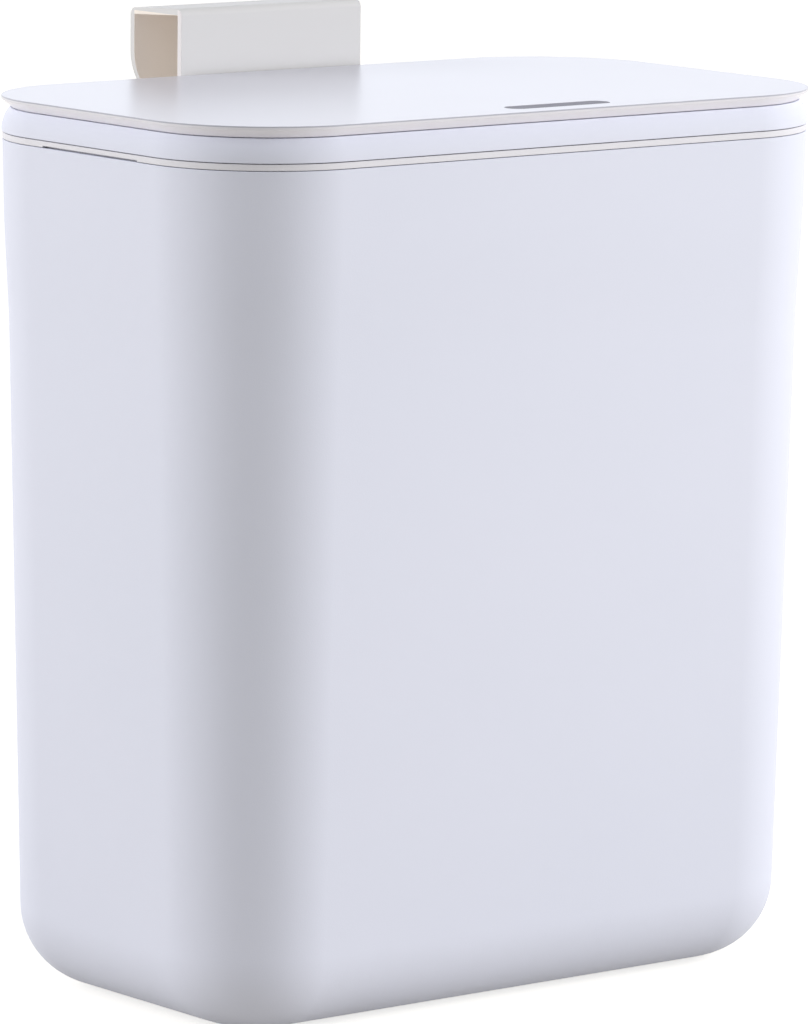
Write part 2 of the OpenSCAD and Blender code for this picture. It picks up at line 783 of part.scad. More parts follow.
// tray that closes the lid from below and carries the latch in a small housing
module lid_tray() {
  tray_back = axis_y - heel_radius - free_gap;
  color(white)
    difference() {
      union() {
        difference() {
          slab(tray_r, tray_bottom, lid_underside);
          slab(tray_r - tray_wall, tray_top, lid_underside + over);
          box([-body_length, tray_back, 0], [body_length, body_depth, lid_top]);
        }
        box([button_x - housing_half, housing_front, cover_top],
          [button_x + housing_half, housing_back + boss_length, tray_top]);
      }
      // hollow for the sliding latch and its spring
      box([button_x - cavity_half, cavity_front, cover_top - over],
        [button_x + cavity_half, cavity_back, cavity_top]);
      // shaft for the plunger's leg
      box([button_x - leg_half - free_gap, cavity_front, latch_top],
        [button_x + leg_half + free_gap, leg_back + free_gap, tray_top + over]);
      // room under the plunger's arm
      box([button_x - cavity_half, flange_back - over, pressed_bottom],
        [button_x + cavity_half, arm_back + free_gap, tray_top + over]);
      // opening for the nose
      box([button_x - cavity_half, housing_front - over, cover_top - over],
        [button_x + cavity_half, cavity_front + over, cavity_top]);
      // opening under the button
      box([button_x - flange_half - flange_play, -body_depth / 2, pressed_bottom],
        [button_x + flange_half + flange_play, flange_back + flange_play, lid_underside + over]);
      for (sx = [-1, 1])
        translate([button_x + sx * cover_screw_x, cover_screw_y, cover_top - over])
          cylinder(r = screw_r, h = cover_screw_reach + screw_play + over);
      for (p = tray_screws_at)
        translate([p[0], p[1], tray_bottom - over])
          cylinder(r = screw_r + screw_play, h = tray_wall + 2 * over);
      for (p = bumpers_at)
        translate([p[0], p[1], tray_bottom - over])
          cylinder(r = bumper_stem, h = tray_wall + 2 * over);
    }
}

// pan-head screw that points up, with its head's underside at a height
module small_screw(x, y, seat, length) {
  translate([x, y, seat - screw_head_height])
    cylinder(r = screw_head_r, h = screw_head_height);
  translate([x, y, seat - screw_head_height / 2])
    cylinder(r = screw_r, h = length + screw_head_height / 2);
}

module tray_screws() {
  color(steel)
    for (p = tray_screws_at)
      small_screw(p[0], p[1], tray_bottom, lid_underside - tray_bottom + screw_bite);
}

// soft studs that carry the closed lid on the frame's ledge
module lid_bumpers() {
  color(rubber)
    for (p = bumpers_at)
      translate([p[0], p[1], ledge_height]) {
        cylinder(r = bumper_radius, h = bumper_height);
        cylinder(r = bumper_stem, h = tray_top + stem_top - ledge_height);
      }
}

module button_cap() {
  color(grey)
    capsule(button_length, button_width, flange_top, lid_top);
}

module button_plunger() {
  color(natural)
    union() {
      box([button_x - flange_half, flange_front, flange_bottom],
        [button_x + flange_half, flange_back, flange_top]);
      box([button_x - latch_half, flange_back, flange_bottom],
        [button_x + latch_half, arm_back, flange_top]);
      prism_x([[leg_front, flange_bottom], [leg_front, leg_tip], [leg_front + leg_flat, leg_tip],
        [leg_back, cam_top], [leg_back, flange_bottom]],
        button_x - leg_half, button_x + leg_half);
    }
}

module latch_slider() {
  slope = leg_back - cam_top + cam_gap * sqrt(2);
  peg_r = latch_spring_radius - latch_spring_wire / 2 - cam_gap;
  color(natural)
    union() {
      difference() {
        prism_x([[nose_tip, latch_top], [nose_tip, latch_mid], [nose_tip + latch_height / 2, latch_bottom],
          [latch_back, latch_bottom], [latch_back, latch_top]],
          button_x - latch_half, button_x + latch_half);
        prism_x([[nose_back, latch_bottom - over], [latch_bottom - over + slope, latch_bottom - over],
          [latch_top + over + slope, latch_top + over], [nose_back, latch_top + over]],
          button_x - leg_half - free_gap, button_x + leg_half + free_gap);
      }
      translate([button_x, latch_back + peg_length, latch_mid])
        rotate([90, 0, 0])
          cylinder(r = peg_r, h = peg_length);
    }
}

// coil spring that pushes the latch forward
module latch_spring() {
  pitch = latch_spring_length / latch_spring_coils;
  color(steel)
    translate([button_x, cavity_back, latch_mid])
      rotate([90, 0, 0])
        rotate_extrude()
          polygon(coil_section(latch_spring_radius, latch_spring_wire, pitch, latch_spring_coils));
}

module latch_cover() {
  color(white)
    difference() {
      box([button_x - housing_half, housing_front, cover_top - cover_thickness],
        [button_x + housing_half, housing_back + boss_length, cover_top]);
      for (sx = [-1, 1])
        translate([button_x + sx * cover_screw_x, cover_screw_y, cover_top - cover_thickness - over])
          cylinder(r = screw_r + screw_play, h = cover_thickness + 2 * over);
    }
}

module cover_screws() {
  color(steel)
    for (sx = [-1, 1])
      small_screw(button_x + sx * cover_screw_x, cover_screw_y, cover_top - cover_thickness,
        cover_thickness + cover_screw_reach);
}

bucket();
hook_socket();
socket_screws();
door_pads();
hook_bracket();
bag_ring();
top_frame();
hinge_pins();
lid_spring_left();
lid_spring_right();
lid_plate();
lid_tray();
tray_screws();
lid_bumpers();
button_cap();
button_plunger();
latch_slider();
latch_spring();
latch_cover();
cover_screws();
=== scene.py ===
import bpy
import json
import math
from mathutils import Matrix, Vector


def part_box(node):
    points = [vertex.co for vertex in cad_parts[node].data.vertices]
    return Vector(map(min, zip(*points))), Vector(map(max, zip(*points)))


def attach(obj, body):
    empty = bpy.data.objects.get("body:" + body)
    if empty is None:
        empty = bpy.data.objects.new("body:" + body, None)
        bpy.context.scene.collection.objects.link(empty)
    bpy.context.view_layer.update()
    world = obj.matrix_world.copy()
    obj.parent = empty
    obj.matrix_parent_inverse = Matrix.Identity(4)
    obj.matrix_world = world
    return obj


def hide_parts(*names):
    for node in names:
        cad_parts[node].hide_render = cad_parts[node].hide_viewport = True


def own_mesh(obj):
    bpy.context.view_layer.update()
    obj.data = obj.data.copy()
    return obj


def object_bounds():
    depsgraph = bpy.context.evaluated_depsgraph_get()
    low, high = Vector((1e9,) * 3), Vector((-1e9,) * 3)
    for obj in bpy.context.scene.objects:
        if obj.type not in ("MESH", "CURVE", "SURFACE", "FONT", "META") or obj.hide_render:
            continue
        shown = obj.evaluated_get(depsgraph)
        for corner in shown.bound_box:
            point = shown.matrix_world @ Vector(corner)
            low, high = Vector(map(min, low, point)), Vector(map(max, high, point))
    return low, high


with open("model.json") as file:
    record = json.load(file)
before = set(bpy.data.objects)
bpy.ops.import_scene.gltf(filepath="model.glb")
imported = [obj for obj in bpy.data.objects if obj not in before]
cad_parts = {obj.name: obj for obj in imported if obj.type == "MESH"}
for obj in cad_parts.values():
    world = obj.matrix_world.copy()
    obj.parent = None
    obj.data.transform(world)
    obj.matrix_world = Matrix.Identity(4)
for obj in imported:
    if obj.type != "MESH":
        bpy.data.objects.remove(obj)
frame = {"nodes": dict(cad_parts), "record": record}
cad_low, cad_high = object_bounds()

# A slim kitchen waste bin that hangs over a cabinet door. From the floor up: the tapered bucket, the ring
# that holds the bag, the top frame, and a sprung lid with a push button. The hook runs in a socket behind.
# X runs along the long side, the front faces -Y, and +Z is up.

# ---------------------------------------------------------------- sizes, metres
MM = 0.001
NEAR = 1e-6                  # lengths closer than this are the same
MERGE = 2e-6                 # points closer than this become one
FACING = 0.9                 # a normal that goes this far along Z faces up or down
SIDES = (-1, 1)              # left and right, or front and back
CORNER_STEPS = 28            # segments in each rounded corner seen from above
EDGE_STEPS = 4               # segments across a rounded edge
CORNER = 41.6 * MM           # corner radius of the lid's outline
STACK_GAP = 0.3 * MM         # free height between stacked pieces
FREE_GAP = 0.4 * MM          # room round what turns or slides
EDGE = 0.2 * MM              # rounding of an edge that looks sharp
SEAM_BEVEL = 0.15 * MM       # rounding beside the two fine seams
SEAM_CLOSE = 0.08 * MM       # how far the ring's band and the lid's rim reach down into their seams

BUCKET_WALL = 2.0 * MM
BASE_ROUND = 26.0 * MM       # radius of the rounded bottom edge
BASE_STEPS = 20
BASE_STEPS_INSIDE = 14
WALL_DRAFT = 0.0217          # sideways slope of the wall
WALL_FLARE = 1.0 * MM        # extra outward flare of the wall's top
FLARE_START = 20 * MM        # the flare lies between these depths below the rim
FLARE_END = 62 * MM
FLARE_STEPS = 10
PLAIN_DEPTHS = (110 * MM, 170 * MM)   # rings on the plain wall below the flare

RING_SKIRT = 1.6 * MM        # thickness of the skirt that holds the bag
BAG_SPACE = 0.95 * MM        # room for the bag between the skirt and the bucket
RING_TAPER = 0.25 * MM
PRY_LENGTH = 49 * MM         # notch for a finger nail
PRY_HEIGHT = 0.5 * MM

FRAME_FACE = 0.5 * MM        # height of the upright outer face
FRAME_SKIRT = 1.6 * MM       # thickness of the two skirts that hang into the ring
FRAME_ROOF = 2.0 * MM        # thickness above the hollows
FRAME_WALL = 2.8 * MM        # thickness between the outer hollow and the shoulder
HOLLOW_MARGIN = 0.2 * MM
SHOULDER = 10 * MM           # radius of the rounded shoulder
SHOULDER_STEPS = 14
DECK_INSET = 6.2 * MM        # insets from the lid's outline
MOUTH_INSET = 14.2 * MM
LOCATOR_INSET = 5.5 * MM
DECK_RISE = 7.3 * MM         # height of the deck above the frame's lower edge

LID_PLATE = 2.2 * MM         # thickness of the plate
LID_FACE = 0.8 * MM          # height of its upright edge
LID_ROUND = 0.3 * MM         # rounding of its top edge
LID_RIM_INSET = 3.2 * MM
LID_RIM_WALL = 1.5 * MM
TRAY_DROP = 1.9 * MM         # height left between the plate and the tray
BOSS_RADIUS = 3 * MM
BORE_REST = 0.2 * MM         # depth of a bore past the screw's tip
PAINTED_SHADE_LINE = 0.45 * MM        # height of the painted shade line under the lid's top
TOP_SKIN = 0.02 * MM         # depth that still counts as the very top

PIN_RADIUS = 1.0 * MM
PIN_CLEARANCE = 0.05 * MM
PIN_REACH = 8 * MM
PIN_INNER_REACH = 1.3 * MM   # reach of the pin's bore past the spring
EAR_WALL = 1.1 * MM          # thickness of the frame's ear round the pin
EAR_ROOT = 0.6 * MM
EAR_PLACE = 66 * MM          # distance of the ear's middle from the middle of the bin
EAR_WIDTH = 8 * MM
HEEL_HALF = 103 * MM         # half the length of the lid's round heel
HEEL_PLAY = 3 * MM
HEEL_RADIUS = 5.7 * MM
TROUGH_RADIUS = 6.4 * MM
SPRING_WIRE = 0.7 * MM
SPRING_TURNS = 16
SPRING_PLAY = 0.25 * MM      # room between the coil and the pin
SPRING_SETBACK = 1.9 * MM    # distance of the coil from the ear
SPRING_LEVER = 4.6 * MM      # reach of the spring's arm
ARM_RISE = 0.3 * MM          # overlap of the spring's arm with its coil
LATCH_WIRE = 0.5 * MM
LATCH_TURNS = 12

BUTTON_GAP = 0.3 * MM
CAP_EDGE = 0.3 * MM          # rounding of the cap's edge
CAP_CROWN = 0.1 * MM         # height of the cap's slight crown
CAP_FLAT = 2.2 * MM          # width of the crown's slope

HOOK_WALL = 2.2 * MM
HOOK_BEND_INSIDE = 0.3 * MM
HOOK_BEND = HOOK_WALL + HOOK_BEND_INSIDE   # outer radius of its two bends
HOOK_BEND_STEPS = 12
HOOK_FALL = 1.2 * MM         # fall of the sloping top from front to back
HOOK_DROP = 35 * MM          # height of the back plate
HOOK_CORNER = 20 * MM        # radius of its lower corners
HOOK_CORNER_STEPS = 20
HOOK_EDGE = 0.35 * MM
FOOT_EAR = 4.5 * MM
FOOT_HEIGHT = 55 * MM
PAINTED_WARM_DEPTH = 26 * MM         # the painted warm light inside the bend reaches this far below the lid's top
PAINTED_WARM_LENGTH = 60 * MM
PAINTED_WARM_FADE_DOWN = 18 * MM
PAINTED_WARM_FADE_ALONG = 45 * MM
END_PAINTED_LIGHT_DEPTH = 20 * MM          # the painted light on the end face reaches this far below the lid's top
END_PAINTED_LIGHT_TOP = 0.5 * MM
SKIN = 0.05 * MM             # depth in which a tone takes a face and not the one behind it

SMALL_SHANK = 1.1 * MM       # radius of the tray's and the cover's screws
SMALL_HEAD = 2.2 * MM        # radius of their heads
SMALL_HEAD_HEIGHT = 1.2 * MM
WALL_SHANK = 1.5 * MM        # radius of the screws through the bucket's wall
WALL_HEAD = 3.2 * MM         # radius of their heads
WALL_HEAD_HEIGHT = 1.6 * MM
WALL_SCREW_LENGTH = 4.6 * MM

lid_low, lid_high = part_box("lid_plate")
bucket_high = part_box("bucket")[1]
ring_low, ring_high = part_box("bag_ring")
frame_low, frame_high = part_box("top_frame")
hook_low, hook_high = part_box("hook_bracket")
cap_low, cap_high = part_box("button_cap")
screws_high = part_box("tray_screws")[1]
slider_low, slider_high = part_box("latch_slider")
JOINTS = {joint["name"]: joint for joint in frame["record"]["behaviour"]["joints"]}
HINGE = Vector(JOINTS["lid_hinge"]["pos_m"])

# corner centres, shared by every outline, and the radius of each outline's corners
HALF_X = lid_high.x - CORNER
HALF_Y = lid_high.y - CORNER
RIM_R = bucket_high.x - HALF_X
RING_R = ring_high.x - HALF_X
FRAME_R = frame_high.x - HALF_X
MOUTH_R = CORNER - MOUTH_INSET
STEP_R = CORNER - DECK_INSET
LOCATOR_R = CORNER - LOCATOR_INSET
LID_RIM_R = CORNER - LID_RIM_INSET

# heights
FRAME_BOTTOM = ring_high.z + STACK_GAP
DECK = FRAME_BOTTOM + DECK_RISE
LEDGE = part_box("lid_bumpers")[0].z
LID_UNDERSIDE = lid_high.z - LID_PLATE
LID_RIM_BOTTOM = DECK + STACK_GAP - SEAM_CLOSE
INSIDE_PLATE = LID_UNDERSIDE + LID_PLATE / 4   # joined pieces reach up to here
TRAY_TOP = LID_UNDERSIDE - TRAY_DROP

# hinge, for the right side
EAR_R = PIN_RADIUS + EAR_WALL
EAR_POCKET = EAR_R + FREE_GAP
EAR_IN = EAR_PLACE - EAR_WIDTH / 2
EAR_OUT = EAR_PLACE + EAR_WIDTH / 2
SPRING_R = PIN_RADIUS + SPRING_PLAY + SPRING_WIRE / 2
SPRING_OUT = EAR_IN - SPRING_SETBACK
SPRING_IN = SPRING_OUT - SPRING_TURNS * SPRING_WIRE


# ---------------------------------------------------------------- editing helpers
def clear_selection():
    if bpy.context.object and bpy.context.object.mode != "OBJECT":
        bpy.ops.object.mode_set(mode="OBJECT")
    bpy.ops.object.select_all(action="DESELECT")


def choose(obj):
    """Makes this the only selected object, and the active one."""
    clear_selection()
    obj.select_set(True)
    bpy.context.view_layer.objects.active = obj


def settle(obj):
    """Puts the object's place, turn and size into its mesh."""
    choose(obj)
    bpy.ops.object.transform_apply(location=True, rotation=True, scale=True)


def edit(obj):
    choose(obj)
    bpy.ops.object.mode_set(mode="EDIT")
    bpy.ops.mesh.select_mode(type="FACE")
    bpy.ops.mesh.select_all(action="DESELECT")


def pick_faces(obj, wanted):
    """Selects the faces of the edited mesh for which wanted(centre, normal) is true."""
    bpy.ops.object.mode_set(mode="OBJECT")
    for polygon in obj.data.polygons:
        polygon.select = wanted(polygon.center, polygon.normal)
    for edge in obj.data.edges:
        edge.select = False
    bpy.ops.object.mode_set(mode="EDIT")
    bpy.ops.mesh.select_mode(type="FACE")


def extrude(x, y, z):
    bpy.ops.mesh.extrude_region_move(TRANSFORM_OT_translate={"value": (x, y, z)})


def rounded_blank(name, half_length, half_depth, radius, low, high, steps=CORNER_STEPS):
    """A plate with rounded upright corners, closed above and below. It is left in edit mode."""
    clear_selection()
    bpy.ops.mesh.primitive_plane_add(size=2, location=(0, 0, low))
    blank = bpy.context.object
    blank.name = blank.data.name = name
    blank.scale = (half_length, half_depth, 1)
    settle(blank)
    edit(blank)
    bpy.ops.mesh.select_mode(type="VERT")
    bpy.ops.mesh.select_all(action="SELECT")
    bpy.ops.mesh.bevel(offset=radius, offset_type="OFFSET", segments=steps, profile=0.5, affect="VERTICES")
    bpy.ops.mesh.select_mode(type="FACE")
    bpy.ops.mesh.select_all(action="SELECT")
    extrude(0, 0, high - low)
    bpy.ops.mesh.select_all(action="SELECT")
    bpy.ops.mesh.normals_make_consistent(inside=False)
    return blank


def run_wall(start, section, up):
    """Carries the selected end face through a section of (distance from corner centre, height)."""
    radius, height = start
    for r, z in section:
        rise = (z - height) if up else (height - z)
        if abs(r - radius) < NEAR:
            extrude(0, 0, z - height)
        else:
            bpy.ops.mesh.inset(thickness=abs(radius - r), depth=rise, use_outset=r > radius,
                               use_boundary=True, use_even_offset=True)
        radius, height = r, z


def smooth(obj, angle):
    choose(obj)
    bpy.ops.object.shade_smooth_by_angle(angle=math.radians(angle))


def weigh_normals(obj):
    """Keeps the flats flat beside their rounded edges."""
    choose(obj)
    weigh = obj.modifiers.new("flat faces stay flat", "WEIGHTED_NORMAL")
    weigh.keep_sharp = True
    weigh.weight = 70
    bpy.ops.object.modifier_apply(modifier=weigh.name)


def finish_shape(obj, angle):
    smooth(obj, angle)
    weigh_normals(obj)


def carve(obj, cutter, kind="DIFFERENCE"):
    """Cuts or joins with another mesh, which is used up."""
    choose(obj)
    cut = obj.modifiers.new("cut", "BOOLEAN")
    cut.operation = kind
    cut.solver = "EXACT"
    cut.object = cutter
    bpy.ops.object.modifier_apply(modifier=cut.name)
    bpy.data.objects.remove(cutter)


def round_edges(obj, width, segments, angle):
    """Takes the sharpness off every edge with a small bevel."""
    choose(obj)
    soft = obj.modifiers.new("soft edges", "BEVEL")
    soft.width = width
    soft.segments = segments
    soft.limit_method = "ANGLE"
    soft.angle_limit = math.radians(angle)
    soft.harden_normals = False
    bpy.ops.object.modifier_apply(modifier=soft.name)


def block(name, low, high):
    clear_selection()
    bpy.ops.mesh.primitive_cube_add(size=1, location=[(a + b) / 2 for a, b in zip(low, high)])
    made = bpy.context.object
    made.name = made.data.name = name
    made.scale = [b - a for a, b in zip(low, high)]
    settle(made)
    return made


def rod(name, radius, start, end, sides=48):
    """A round bar between two points."""
    start, end = Vector(start), Vector(end)
    clear_selection()
    bpy.ops.mesh.primitive_cylinder_add(vertices=sides, radius=radius, depth=(end - start).length,
                                        location=(start + end) / 2)
    made = bpy.context.object
    made.name = made.data.name = name
    made.rotation_mode = "QUATERNION"
    made.rotation_quaternion = Vector((0, 0, 1)).rotation_difference(end - start)
    settle(made)
    return made


def rod_x(name, radius, start, end, sides=64):
    """A round bar along the hinge's line."""
    return rod(name, radius, (start, HINGE.y, HINGE.z), (end, HINGE.y, HINGE.z), sides)


def span(side, low, high):
    """Mirrors a stretch of x to the asked side, lowest first."""
    return (low, high) if side > 0 else (-high, -low)


def quarter(centre_r, centre_z, radius, first, last, steps):
    """Points of an arc in a section, angles in degrees."""
    points = []
    for i in range(steps + 1):
        a = math.radians(first + (last - first) * i / steps)
        points.append((centre_r + radius * math.cos(a), centre_z + radius * math.sin(a)))
    return points


def swept(name, radius, low, high, lower, upper, closed=True, steps=CORNER_STEPS):
    """A body whose wall follows the rounded outline. Its outermost band stands between low and high.
    Below and above it the section runs inward, and where it is closed the two runs meet."""
    body = rounded_blank(name, HALF_X + radius, HALF_Y + radius, radius, low, high, steps)
    pick_faces(body, lambda c, n: n.z < -FACING)
    run_wall((radius, low), lower, up=False)
    pick_faces(body, lambda c, n: n.z > FACING and c.z > high - NEAR)
    run_wall((radius, high), upper, up=True)
    if closed:
        end = Vector((0, 0, upper[-1][1]))
        pick_faces(body, lambda c, n: (c - end).length < 10 * NEAR)
        bpy.ops.mesh.delete(type="FACE")
        bpy.ops.mesh.select_mode(type="VERT")
        bpy.ops.mesh.select_all(action="SELECT")
        bpy.ops.mesh.remove_doubles(threshold=MERGE)
    bpy.ops.object.mode_set(mode="OBJECT")
    return body


def capsule(name, length, width, low, high, steps=24):
    """An upright capsule round the button's middle."""
    made = rounded_blank(name, length / 2, width / 2, width / 2 - NEAR, low, high, steps)
    bpy.ops.mesh.remove_doubles(threshold=10 * NEAR)
    bpy.ops.object.mode_set(mode="OBJECT")
    made.location = ((cap_low.x + cap_high.x) / 2, (cap_low.y + cap_high.y) / 2, 0)
    settle(made)
    return made


def coil(name, start, axis, across, onward, radius, turns, length, wire, first=None, steps=28):
    """Turns of wire round an axis. They begin beside start on the across side and head onward, and
    first is the far point of a straight end."""
    axis, across, onward = Vector(axis), Vector(across), Vector(onward)
    count = round(turns * steps)
    path = [Vector(first)] if first else []
    for i in range(count + 1):
        a = 2 * math.pi * i / steps
        path.append(Vector(start) + axis * (length * i / count)
                    + (across * math.cos(a) + onward * math.sin(a)) * radius)
    line = bpy.data.curves.new(name, "CURVE")
    line.dimensions = "3D"
    line.bevel_depth = wire / 2
    line.bevel_resolution = 3
    line.use_fill_caps = True
    spline = line.splines.new("POLY")
    spline.points.add(len(path) - 1)
    for point, place in zip(spline.points, path):
        point.co = (*place, 1)
    holder = bpy.data.objects.new(name, line)
    bpy.context.scene.collection.objects.link(holder)
    choose(holder)
    bpy.ops.object.convert(target="MESH")
    made = bpy.context.object
    made.data.name = name
    smooth(made, 60)
    return made


# ---------------------------------------------------------------- node helpers
def feed(tree, value, socket):
    """Links another node's output to a socket, or sets the socket to a plain value."""
    if isinstance(value, bpy.types.NodeSocket):
        tree.links.new(value, socket)
    else:
        socket.default_value = value


def group(name, inputs, outputs):
    tree = bpy.data.node_groups.new(name, "ShaderNodeTree")
    for label, kind, value in inputs:
        socket = tree.interface.new_socket(name=label, in_out="INPUT", socket_type=kind)
        if value is not None:
            socket.default_value = value
    for label, kind in outputs:
        tree.interface.new_socket(name=label, in_out="OUTPUT", socket_type=kind)
    return tree, tree.nodes.new("NodeGroupInput"), tree.nodes.new("NodeGroupOutput")


def place_group(tree, shared, where, settings):
    """Places a shared group in a material, on the given coordinates and with the material's own values."""
    node = tree.nodes.new("ShaderNodeGroup")
    node.node_tree = shared
    for label, value in settings.items():
        node.inputs[label].default_value = value
    tree.links.new(where, node.inputs["Vector"])
    return node


def noise(tree, vector, scale, detail=2.0):
    node = tree.nodes.new("ShaderNodeTexNoise")
    feed(tree, scale, node.inputs["Scale"])
    node.inputs["Detail"].default_value = detail
    tree.links.new(vector, node.inputs["Vector"])
    return node.outputs["Fac"]


def math_node(tree, operation, a, b):
    node = tree.nodes.new("ShaderNodeMath")
    node.operation = operation
    feed(tree, a, node.inputs[0])
    feed(tree, b, node.inputs[1])
    return node.outputs[0]


def mix_node(tree, factor, a, b, kind="RGBA"):
    node = tree.nodes.new("ShaderNodeMix")
    node.data_type = kind
    feed(tree, factor, node.inputs["Factor"])
    feed(tree, a, node.inputs["A"])
    feed(tree, b, node.inputs["B"])
    return node.outputs["Result"]


def srgb(*channels):
    """A colour written as 0-255 values, in the linear form that shaders take."""
    out = []
    for c in channels:
        c = c / 255
        out.append(c / 12.92 if c <= 0.04045 else ((c + 0.055) / 1.055) ** 2.4)
    return (*out, 1)


# ---------------------------------------------------------------- finishes
def make_moulded_grain():
    """Fine spark-eroded grain of a moulding tool, with the slow waviness of a thin wall."""
    inputs = [("Vector", "NodeSocketVector", None), ("Grain Scale", "NodeSocketFloat", 2600.0),
              ("Waviness", "NodeSocketFloat", 0.3)]
    tree, given, put = group("moulded grain", inputs, [("Height", "NodeSocketFloat")])
    fine = noise(tree, given.outputs["Vector"], given.outputs["Grain Scale"], 3.0)
    slow = noise(tree, given.outputs["Vector"], 14.0, 1.0)
    waves = math_node(tree, "MULTIPLY", slow, given.outputs["Waviness"])
    tree.links.new(math_node(tree, "ADD", fine, waves), put.inputs["Height"])
    return tree


def make_soft_tint():
    """Two close tones of one plastic, mixed in large faint clouds, with a slightly uneven gloss."""
    inputs = [("Vector", "NodeSocketVector", None), ("Tone", "NodeSocketColor", (0.7, 0.7, 0.7, 1)),
              ("Second Tone", "NodeSocketColor", (0.65, 0.65, 0.65, 1)),
              ("Roughness", "NodeSocketFloat", 0.4), ("Roughness Spread", "NodeSocketFloat", 0.05)]
    tree, given, put = group("soft tint", inputs,
                             [("Color", "NodeSocketColor"), ("Roughness", "NodeSocketFloat")])
    clouds = noise(tree, given.outputs["Vector"], 9.0)
    tinted = mix_node(tree, clouds, given.outputs["Tone"], given.outputs["Second Tone"])
    tree.links.new(tinted, put.inputs["Color"])
    handled = noise(tree, given.outputs["Vector"], 38.0, 3.0)
    uneven = math_node(tree, "SUBTRACT", handled, 0.5)
    spread = math_node(tree, "MULTIPLY", uneven, given.outputs["Roughness Spread"])
    tree.links.new(math_node(tree, "ADD", given.outputs["Roughness"], spread), put.inputs["Roughness"])
    return tree


MOULDED_GRAIN = make_moulded_grain()
SOFT_TINT = make_soft_tint()


def plastic(name, tone, second, roughness, bump, spread=0.06, grain_scale=2600, waviness=0.3,
            specular=0.5, metallic=0.0):
    """A moulded finish: tinted plastic with its tool grain."""
    material = bpy.data.materials.new(name)
    material.use_nodes = True
    tree = material.node_tree
    shader = tree.nodes["Principled BSDF"]
    where = tree.nodes.new("ShaderNodeTexCoord").outputs["Object"]
    tint = place_group(tree, SOFT_TINT, where, {"Tone": tone, "Second Tone": second,
                                                "Roughness": roughness, "Roughness Spread": spread})
    tree.links.new(tint.outputs["Color"], shader.inputs["Base Color"])
    tree.links.new(tint.outputs["Roughness"], shader.inputs["Roughness"])
    grain = place_group(tree, MOULDED_GRAIN, where, {"Grain Scale": grain_scale, "Waviness": waviness})
    relief = tree.nodes.new("ShaderNodeBump")
    relief.inputs["Strength"].default_value = bump
    relief.inputs["Distance"].default_value = MM
    tree.links.new(grain.outputs["Height"], relief.inputs["Height"])
    tree.links.new(relief.outputs["Normal"], shader.inputs["Normal"])
    shader.inputs["Specular IOR Level"].default_value = specular
    shader.inputs["Metallic"].default_value = metallic
    return material


BODY_TONES = (srgb(227, 229, 243), srgb(223, 226, 240))
IVORY_TONES = (srgb(223, 222, 223), srgb(220, 219, 218))
BUCKET_FINISH = plastic("bucket satin white", *BODY_TONES, 0.6, bump=0.05, specular=0.35)
FRAME_FINISH = plastic("frame satin white", *BODY_TONES, 0.58, bump=0.04, specular=0.35)
LID_FINISH_WITH_PAINTED_EDGE = plastic("lid smooth white with painted edge light and shade", srgb(215, 215, 225), srgb(213, 213, 223), 0.29, bump=0.002,
                     spread=0.02, grain_scale=1800, waviness=0.1)
RING_FINISH = plastic("ring natural plastic", srgb(228, 227, 233), srgb(225, 224, 230), 0.5, bump=0.05)
HOOK_FINISH_WITH_PAINTED_LIGHT = plastic("hook ivory plastic with painted light", *IVORY_TONES, 0.55, bump=0.04, specular=0.3)
HOLDER_FINISH = plastic("holder ivory plastic", *IVORY_TONES, 0.55, bump=0.04, specular=0.3)
BUTTON_FINISH = plastic("button grey plastic", srgb(130, 129, 138), srgb(125, 124, 133), 0.6,
                        bump=0.04, specular=0.25)
INNER_FINISH = plastic("inner natural plastic", srgb(226, 225, 222), srgb(220, 219, 214), 0.5, bump=0.05)
RUBBER_FINISH = plastic("soft grey rubber", srgb(96, 96, 98), srgb(88, 88, 91), 0.8, bump=0.1,
                        specular=0.3)
STEEL_FINISH = plastic("plated steel", srgb(184, 186, 190), srgb(172, 174, 179), 0.3, bump=0.03,
                       spread=0.12, grain_scale=3800, metallic=1.0)

# painted light and shade on the lid's edge: a lighter rim and upright face, and a thin painted shade line
# under the top
LID_RIM_PAINTED_LIGHT = srgb(248, 245, 250)
LID_FACE_PAINTED_LIGHT = srgb(224, 222, 228)
LID_EDGE_PAINTED_SHADE = srgb(180, 180, 190)
# painted light on the hook: a warm light inside its bend and a lighter end face of the front wall
HOOK_INSIDE_PAINTED_LIGHT = srgb(249, 240, 231)
HOOK_END_PAINTED_LIGHT = srgb(235, 231, 232)
CRISP = 0.02 * MM
SHARP = (CRISP, CRISP, CRISP)


def painted_light_zone(material, low, high, tone, fade_in=SHARP, fade_out=SHARP):
    """Paints light and shade as another tone on the part of a finish that lies inside a box, which may
    fade at its sides.
    """
    tree = material.node_tree
    base = tree.nodes["Principled BSDF"].inputs["Base Color"]
    split = tree.nodes.new("ShaderNodeSeparateXYZ")
    tree.links.new(tree.nodes.new("ShaderNodeTexCoord").outputs["Object"], split.inputs[0])
    inside = 1.0
    for axis in range(3):
        place = split.outputs[axis]
        above = math_node(tree, "SUBTRACT", place, low[axis])
        below = math_node(tree, "SUBTRACT", high[axis], place)
        for depth, fade in ((above, fade_in[axis]), (below, fade_out[axis])):
            share = math_node(tree, "DIVIDE", depth, fade)
            share.node.use_clamp = True
            inside = math_node(tree, "MULTIPLY", inside, share)
    mixed = mix_node(tree, inside, base.links[0].from_socket, tone)
    tree.links.new(mixed, base)


def dress(obj, material, body, replaces=()):
    obj.data.materials.clear()
    obj.data.materials.append(material)
    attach(obj, body)
    if replaces:
        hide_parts(*replaces)


# ---------------------------------------------------------------- bucket
def flare_share(t):
    """Eases from 0 to 1 down the flare."""
    t = min(max(t, 0), 1)
    return t * t * (3 - 2 * t)


def bucket_radius(z):
    """Outer radius of the bucket's corners at a height."""
    depth = bucket_high.z - z
    flare = WALL_FLARE * flare_share((depth - FLARE_START) / (FLARE_END - FLARE_START))
    return RIM_R - WALL_DRAFT * depth - flare


